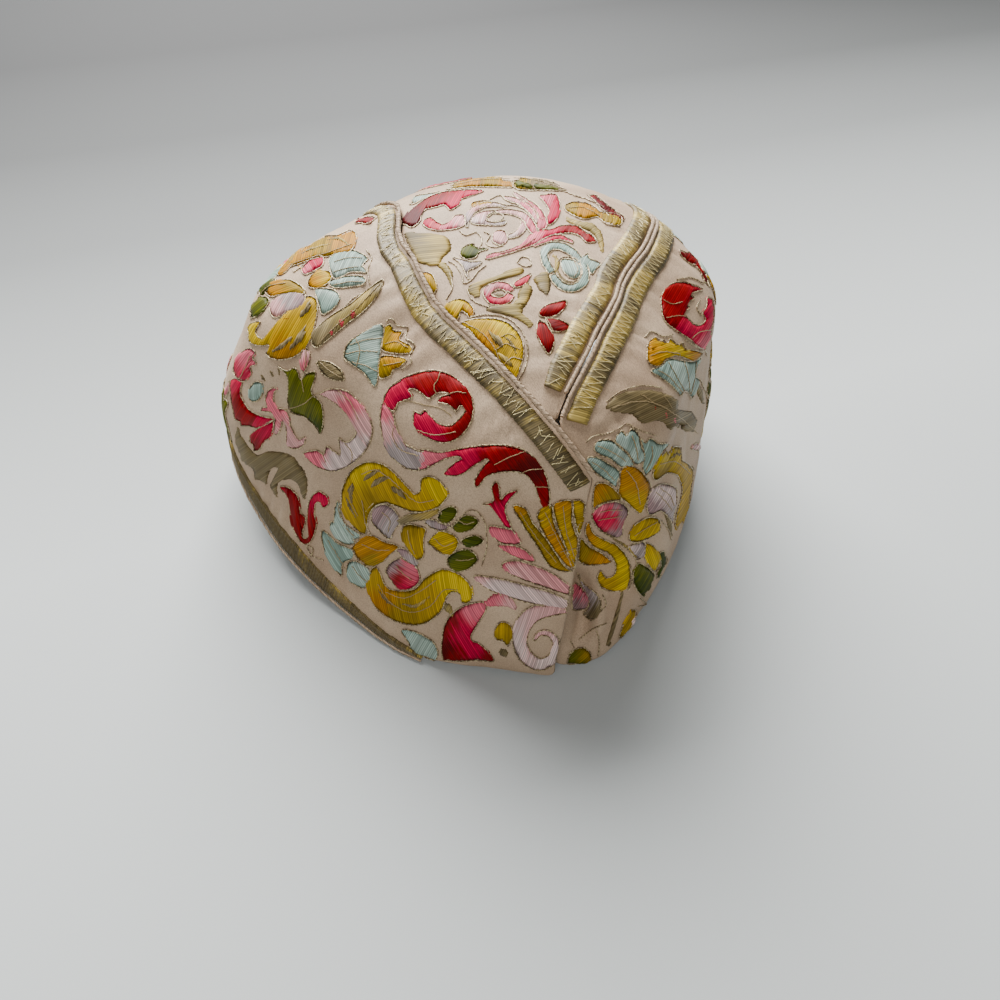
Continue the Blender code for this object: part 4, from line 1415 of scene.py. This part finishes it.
# Crown, near half. The blue knot, the crimson trefoil, the pink ring, and the yellow fruit with its leaf,
# in satin stitch with cord round them.
CROWN_KNOT = (
    (60, "blue ice blue ice blue ice blue", (
        (552, 273, 7), (546, 263, 8), (544, 253, 8), (551, 247, 8), (561, 247, 8), (571, 252, 8),
        (577, 258, 8), (584, 268, 8), (585, 278, 8), (581, 285, 8), (572, 289, 8), (563, 287, 8),
        (556, 281, 8), (553, 275, 7),
    )),
    (110, "blue ice", ((562, 260), (574, 261), (581, 269), (579, 278), (571, 279), (564, 273), (561, 266))),
    (60, "ice blue", (
        (580, 262), (587, 254), (590, 259), (601, 264), (596, 269), (592, 275), (587, 269), (581, 267),
    )),
    (60, "crimson", ((539, 316), (542, 309), (551, 304), (566, 301), (564, 309), (556, 316), (546, 318))),
    (20, "crimson wine", ((546, 319), (559, 320), (571, 327), (561, 332), (551, 331), (547, 324))),
    (100, "wine crimson", (
        (539, 321), (546, 324), (552, 334), (554, 344), (549, 355), (543, 347), (537, 336), (537, 327),
    )),
    (60, "pink coral rose pink blush pink pink", (
        (511, 294, 8), (507, 300, 8), (499, 302, 8), (491, 300, 8), (487, 294, 8), (491, 289, 8),
        (499, 286, 8), (507, 288, 8), (511, 292, 8),
    )),
    (60, "rose coral", ((514, 284), (521, 279), (531, 274), (529, 279), (524, 286), (516, 288))),
    (60, (("yellow", 450, 312), ("lemon", 460, 304), ("ochre", 468, 314)), (
        (444, 311), (448, 304), (456, 300), (466, 301), (473, 308), (474, 314), (470, 319), (466, 314),
        (460, 312), (459, 319), (451, 321), (446, 314),
    )),
    (60, (
        ("yellow", 480, 326), ("lemon", 505, 330), ("yellow", 515, 345), ("ochre", 488, 342),
        ("mustard", 500, 358), ("yellow", 515, 370),
    ), (
        (461, 324), (473, 320), (493, 319), (509, 324), (521, 337), (524, 352), (521, 366), (513, 382),
        (503, 371), (493, 357), (479, 342), (470, 331),
    )),
    (90, "ochre yellow", (
        (422, 274), (428, 273), (433, 276), (437, 286), (435, 294), (430, 293), (425, 283),
    )),
)
needlework("crown_knot", "crown_gore", CROWN_KNOT, bare=(
    (60, "gold khaki", ((554, 255, 3), (558, 263, 5), (556, 270, 5), (561, 278, 5), (569, 284, 3))),
    (120, "straw tan", ((488, 330, 1), (497, 340, 6), (504, 350, 1))),
    (120, "gold straw", ((498, 352, 1), (506, 360, 5), (512, 368, 1))),
    (60, "tan straw", ((504, 336, 1), (512, 344, 4), (516, 354, 1))),
    (60, "khaki", ((494, 295), (499, 293), (504, 295), (499, 298))),
), veins=(
    ((462, 322), (478, 330), (492, 344), (500, 360), (508, 374)),
    ((541, 317), (547, 319), (550, 325), (553, 331)),
    ((500, 338), (508, 334), (516, 338)), ((496, 350), (506, 344), (520, 350)),
    ((503, 366), (512, 358), (522, 360)),
    ((548, 256), (556, 250), (568, 254)), ((574, 262), (578, 270), (574, 277)),
), lines=(
    ((446, 300), (452, 290), (452, 281), (449, 272), (445, 266)),
    ((470, 318), (488, 315), (508, 319), (522, 332), (528, 350), (525, 368), (516, 385)),
    ((556, 264), (562, 258), (572, 258), (580, 264), (582, 274), (576, 282), (566, 281)),
    ((467, 290), (472, 300), (484, 306), (496, 310)),
))

# Crown. Patches of flat gold thread lie between the flowers. Their threads are laid side by side as the
# silks are, with no cord round them.
GOLD_PATCHES = (
    (5, (("khaki", 412, 238), ("gold", 440, 240), ("straw", 425, 256), ("gold", 440, 256)), (
        (404, 235), (413, 234), (443, 235), (451, 243), (451, 251), (443, 258), (438, 265), (418, 263),
        (411, 253), (406, 245),
    )),
    (5, "gold straw", ((436, 266), (446, 264), (453, 273), (452, 286), (450, 284), (446, 276), (441, 269))),
    (15, "khaki straw gold gold straw", (
        (467, 289), (473, 283), (496, 277), (521, 269), (524, 273), (513, 278), (496, 281), (483, 287),
        (479, 296), (472, 296),
    )),
    (5, "straw gold straw khaki straw", (
        (518, 292), (526, 284), (533, 289), (529, 301), (523, 313), (533, 323), (529, 327), (516, 319),
        (499, 314), (486, 311), (489, 306), (506, 307), (516, 300),
    )),
    (5, "straw khaki", ((533, 278), (546, 273), (551, 278), (549, 293), (541, 292), (536, 285))),
    (30, "gold straw gold", ((566, 219, 4), (580, 225, 8), (592, 228, 9), (600, 238, 8), (602, 252, 3))),
)
flat_gold = thread_material("flat_gold_thread", 0.6, 0.0, 0.1)
needlework("crown_gold_patches", "crown_gore", (), bare=GOLD_PATCHES, thread=flat_gold)

# Right side. A crimson scroll and leaf at the edge, a hanging bell flower and a leaf of dull gold thread,
# worked as on the left side.
RIGHT_SCROLL = (
    (60, (("wine", 684, 250), ("crimson", 700, 264), ("wine", 709, 282)), (
        (679, 252), (687, 245), (698, 255), (707, 273), (713, 288), (705, 283), (698, 269), (687, 262),
    )),
    (60, (
        ("crimson", 670, 295), ("crimson", 668, 318), ("rose", 690, 335), ("rose", 712, 320),
        ("pink", 708, 350),
    ), (
        (662, 315), (661, 297), (670, 285), (684, 282), (698, 287), (702, 290), (691, 294), (694, 299),
        (686, 303), (689, 308), (684, 313), (688, 319), (694, 324), (700, 325), (705, 320), (702, 313),
        (706, 307), (707, 297), (716, 304), (718, 318), (718, 339), (716, 352), (705, 353), (691, 341),
        (673, 329), (665, 322),
    )),
)
needlework("right_scroll", "right_side", RIGHT_SCROLL, veins=(
    ((663, 300), (672, 304), (682, 302)), ((666, 318), (676, 316), (686, 316)),
    ((692, 338), (700, 332), (712, 330)),
), lines=(((676, 280), (690, 278), (704, 284)), ((700, 300), (696, 308), (702, 316))))
RIGHT_BELL = (
    (20, (("ochre", 652, 352), ("yellow", 666, 348), ("lemon", 682, 352), ("ochre", 694, 356)), (
        (647, 360), (647, 346), (651, 340), (656, 338), (660, 342), (663, 340), (667, 344), (670, 339),
        (678, 345), (682, 343), (686, 350), (691, 350), (702, 353), (693, 361), (684, 358), (670, 356),
        (660, 366), (652, 366),
    )),
    (70, (("blue", 660, 372), ("ice", 680, 376), ("blue", 694, 370)), (
        (651, 371), (661, 366), (669, 359), (684, 361), (694, 361), (702, 357), (700, 374), (693, 395),
        (689, 399), (680, 396), (670, 385), (660, 378),
    )),
)
needlework(
    "right_bell", "right_side", RIGHT_BELL,
    veins=(
        ((668, 362), (676, 376), (686, 394)),
        ((684, 362), (688, 376), (690, 394)),
        ((658, 370), (670, 378), (682, 392)),
        ((696, 362), (695, 376), (691, 394)),
        ((650, 356), (664, 352), (680, 354)),
    ),
    lines=(
        ((644, 338), (650, 332), (658, 335), (664, 337), (672, 335)),
        ((684, 340), (694, 346), (704, 350), (706, 356)),
    ),
)
RIGHT_LEAF = (
    (25, (("tan", 615, 405), ("khaki", 640, 402), ("khaki", 668, 412), ("tan", 690, 425)), (
        (605, 408), (617, 396), (638, 390), (663, 392), (687, 406), (701, 427), (704, 440), (692, 437),
        (684, 428), (670, 430), (662, 422), (652, 421), (642, 424), (632, 415), (617, 413),
    )),
    (60, "tan khaki", ((696, 382, 3), (701, 394, 7), (704, 408, 3))),
)
needlework("right_leaf", "right_side", (), bare=RIGHT_LEAF, veins=(
    ((612, 408), (634, 402), (656, 404), (680, 418), (698, 434)), ((640, 394), (652, 402)),
    ((664, 396), (672, 408)),
), lines=(((606, 402), (620, 392), (640, 386), (662, 388)), ((700, 380), (706, 396), (706, 416))))
needlework("right_leaf_dots", "right_side", (), bare=(
    (0, "crimson", ((651, 407), (654, 405), (657, 408), (655, 412), (651, 411))),
    (0, "coral", ((662, 413), (665, 411), (668, 414), (666, 418), (662, 417))),
    (0, "pink", ((671, 418), (674, 416), (677, 419), (675, 423), (671, 422))),
    (0, "pink", ((683, 423), (686, 421), (689, 424), (687, 428), (683, 427))),
), raised=0.3 * MM)

# Right side, lower half. The flower that the tuck cuts through has blue leaves above it and green ones
# below, in satin stitch with cord round them.
RIGHT_FLOWER = (
    (60, "blue ice blue", (
        (594, 449), (598, 441), (610, 440), (617, 444), (629, 455), (633, 465), (621, 467), (610, 459),
        (598, 454),
    )),
    (50, "ice blue", (
        (587, 458), (596, 457), (608, 463), (619, 471), (617, 480), (615, 486), (606, 480), (596, 473),
        (589, 465),
    )),
    (70, "ice blue ice", (
        (615, 442), (621, 431), (626, 436), (631, 429), (638, 434), (640, 444), (644, 455), (640, 463),
        (633, 463), (627, 454),
    )),
    (70, "blue ice blue", (
        (640, 438), (645, 443), (650, 438), (658, 443), (668, 444), (661, 452), (654, 463), (646, 475),
        (642, 467), (644, 455),
    )),
    (30, (("ochre", 624, 478), ("ochre", 640, 480), ("yellow", 634, 500)), (
        (620, 471), (627, 465), (640, 470), (650, 484), (649, 492), (644, 507), (639, 513), (627, 503),
        (618, 494), (619, 482),
    )),
    (60, (
        ("lemon", 665, 455), ("yellow", 690, 465), ("mustard", 665, 475), ("yellow", 690, 500),
        ("yellow", 675, 540),
    ), (
        (654, 467), (660, 457), (669, 448), (682, 447), (694, 454), (699, 465), (697, 480), (692, 496),
        (686, 515), (679, 538), (673, 548), (673, 534), (677, 515), (682, 496), (682, 484), (679, 477),
        (667, 473), (656, 480), (652, 476),
    )),
    (60, (("mauve", 650, 505), ("shell", 664, 495), ("silver", 672, 515)), (
        (650, 492), (660, 484), (673, 486), (679, 496), (677, 511), (674, 530), (669, 519), (660, 511),
        (650, 515), (646, 507),
    )),
    (60, (
        ("pink", 600, 508), ("rose", 598, 520), ("mauve", 622, 510), ("rose", 612, 518),
        ("mauve", 616, 532),
    ), (
        (592, 515), (600, 505), (615, 501), (627, 507), (627, 515), (623, 522), (621, 536), (610, 536),
        (598, 528),
    )),
    (120, (("ochre", 600, 490), ("mustard", 610, 496)), (
        (593, 496), (596, 484), (606, 483), (615, 490), (621, 499), (612, 501), (600, 504), (593, 509),
    )),
    (30, (("ochre", 590, 530), ("yellow", 610, 545), ("lemon", 624, 570), ("yellow", 606, 585)), (
        (589, 522), (593, 532), (606, 540), (617, 545), (627, 557), (631, 572), (627, 586), (615, 591),
        (602, 588), (597, 578), (601, 570), (606, 577), (614, 574), (615, 563), (608, 553), (594, 547),
        (587, 538), (585, 528),
    )),
    (60, (("mustard", 582, 550), ("ochre", 600, 560)), (
        (581, 538), (589, 546), (600, 552), (608, 558), (611, 562), (602, 564), (589, 565), (579, 561),
        (579, 549),
    )),
    (60, "yellow lemon", (
        (629, 534), (635, 524), (648, 517), (658, 519), (659, 530), (648, 538), (637, 542), (630, 541),
    )),
    (60, "shell silver", ((628, 547), (637, 543), (644, 542), (644, 553), (638, 559), (631, 553))),
    (110, "yellow lemon", (
        (646, 543), (654, 547), (660, 559), (658, 568), (654, 572), (647, 563), (644, 555),
    )),
    (60, "green forest", (
        (633, 572), (638, 563), (646, 566), (654, 574), (654, 584), (646, 597), (637, 591), (633, 582),
    )),
    (60, "forest", (
        (659, 553), (667, 551), (669, 559), (661, 572), (658, 582), (654, 582), (656, 572), (660, 565),
    )),
    (60, "yellow mustard", (
        (619, 635), (625, 620), (631, 610), (637, 611), (633, 620), (627, 635), (621, 639),
    )),
    (60, "pink shell", ((688, 448), (701, 439), (703, 446), (696, 453))),
)
needlework("right_large_flower", "right_side", RIGHT_FLOWER, bare=(
    (120, "khaki", ((670, 459, 1), (677, 454, 4), (684, 456, 1))),
    (120, "khaki", ((686, 464, 1), (692, 468, 4), (695, 475, 1))),
    (60, "khaki tan", ((664, 512, 2), (670, 524, 6), (672, 540, 2))),
    (60, "tan gold", ((604, 532, 1), (616, 540, 3), (628, 548, 4), (636, 558, 2))),
    (60, "shell", ((637, 614), (638, 626), (631, 633), (627, 634), (632, 622))),
), veins=(
    ((598, 446), (612, 452), (626, 462)), ((592, 462), (604, 470), (614, 480)),
    ((632, 436), (636, 448), (638, 460)),
    ((652, 446), (652, 458), (646, 470)), ((626, 470), (636, 484), (640, 504)),
    ((660, 464), (676, 462), (690, 474)),
    ((634, 536), (646, 528), (657, 522)), ((656, 492), (664, 500), (672, 510)),
    ((660, 488), (670, 496), (674, 506)),
    ((600, 512), (610, 510), (622, 510)), ((598, 520), (610, 518), (622, 516)),
), lines=(
    ((586, 442), (594, 436), (606, 434), (616, 430), (626, 424), (634, 428), (644, 432), (656, 436)),
    ((618, 542), (630, 552), (636, 562), (634, 574), (628, 590)), ((640, 598), (646, 604), (638, 606)),
    ((650, 516), (660, 520), (668, 530), (672, 544)),
))

# Right side, nape. What shows of its flowers between the folds of the tuck, in the same silks and cord.
# They are small, because the folds hide the rest.
needlework("right_nape", "right_side", (
    (40, "green mustard forest", (
        (567, 662), (571, 653), (581, 647), (589, 651), (591, 658), (587, 668), (577, 669), (570, 667),
    )),
    (60, "pink mauve", ((574, 584), (581, 586), (589, 597), (587, 607), (577, 610), (572, 607))),
    (60, "silver khaki silver", (
        (577, 572), (583, 582), (596, 593), (601, 603), (598, 614), (591, 620), (583, 613), (589, 607),
        (585, 595),
    )),
), bare=(
    (60, "khaki", ((623, 591, 2), (616, 617, 4), (607, 646, 3))),
), lines=(
    ((579, 639), (592, 629), (606, 623)), ((596, 630), (599, 641), (598, 656)),
    ((570, 640), (574, 648), (568, 654)), ((600, 612), (606, 604), (602, 594)),
))

# The photograph hides the right side's far half, the crown's front and the left side's front. Such caps
# repeat their flowers in mirror image, so the same drawings are worked there. Each has its azimuth and rise
# from the cap's middle, its turn and size, and -1 where it is mirrored. A drawing ends with its own middle.
OUTSIDE = 60 * MM
BEYOND_CAP = 0.3
DRAWINGS = {
    "flower": (LARGE_FLOWER, LARGE_FLOWER_TWILL, LARGE_FLOWER_VEINS, (403, 543)),
    "edge_flower": (EDGE_FLOWER, EDGE_FLOWER_TWILL, (), (310, 295)),
    "leaves": (EDGE_LEAVES, DOTS, (), (278, 398)),
    "bell": (BELL_FLOWER, (), BELL_VEINS, (378, 352)),
    "hook": (HEM_SCROLL[1:], HEM_SCROLL[:1], (), (281, 490)),
    "spiral": (SPIRAL, (), SPIRAL_VEINS, (455, 440)),
}
HIDDEN_NEEDLEWORK = (
    ("right_far_flower", "flower", -10, 10, 0, 0.95, -1),
    ("right_far_bell", "bell", -9, 33, 20, 0.9, -1),
    ("right_far_leaves", "leaves", 17, 8, 0, 0.95, -1),
    ("right_far_hook", "hook", 38, 2, 0, 0.75, -1),
    ("right_far_edge_flower", "edge_flower", 17, 29, 0, 1.0, -1),
    ("crown_front_flower", "flower", 77, 12, 0, 1.0, 1),
    ("crown_front_spiral", "spiral", 79, 39, 0, 0.75, -1),
    ("crown_front_right_bell", "bell", 57, 27, 60, 0.85, 1),
    ("crown_front_left_bell", "bell", 99, 27, -60, 0.85, -1),
    ("crown_front_right_hook", "hook", 56, 4, 0, 0.75, -1),
    ("crown_front_left_hook", "hook", 98, 4, 0, 0.75, 1),
    ("left_front_flower", "flower", 139, 10, 0, 0.95, 1),
    ("left_front_leaves", "leaves", 164, 8, 0, 0.9, 1),
    ("left_front_bell", "bell", 120, 28, 40, 0.85, 1),
    ("left_front_hook", "hook", 116, 3, 0, 0.75, 1),
    ("left_front_edge_flower", "edge_flower", 144, 34, 0, 0.9, 1),
)


def outside_sight(spot, outward, turn, size, flip, middle):
    """Lines of sight that look straight at a spot of the cloth, for a drawing laid round it."""
    level = Vector((0, 0, 1)).cross(outward).normalized()
    rise = outward.cross(level)
    across = (level * cos(turn) + rise * sin(turn)) * PHOTO_PIXEL * size
    up = (rise * cos(turn) - level * sin(turn)) * PHOTO_PIXEL * size

    def sight(x, y):
        return spot + outward * OUTSIDE + across * (x - middle[0]) * flip + up * (middle[1] - y), -outward

    return sight


for name, drawing, azimuth, rise, turn, size, flip in HIDDEN_NEEDLEWORK:
    fills, bare, veins, middle = DRAWINGS[drawing]
    level = cos(radians(rise))
    away = Vector((cos(radians(azimuth)) * level, sin(radians(azimuth)) * level, sin(radians(rise))))
    hits = []
    for cloth_name, tree in cloth_trees.items():
        spot, outward, face, distance = tree.ray_cast(CAP_MIDDLE + away * BEYOND_CAP, -away)
        if spot is not None:
            hits.append((distance, cloth_name, spot, outward))
    distance, cloth_name, spot, outward = min(hits)
    sight = outside_sight(spot, outward, radians(turn), size, flip, middle)
    needlework(name, cloth_name, fills, bare=bare, veins=veins, sight=sight, pixel=PHOTO_PIXEL * size)
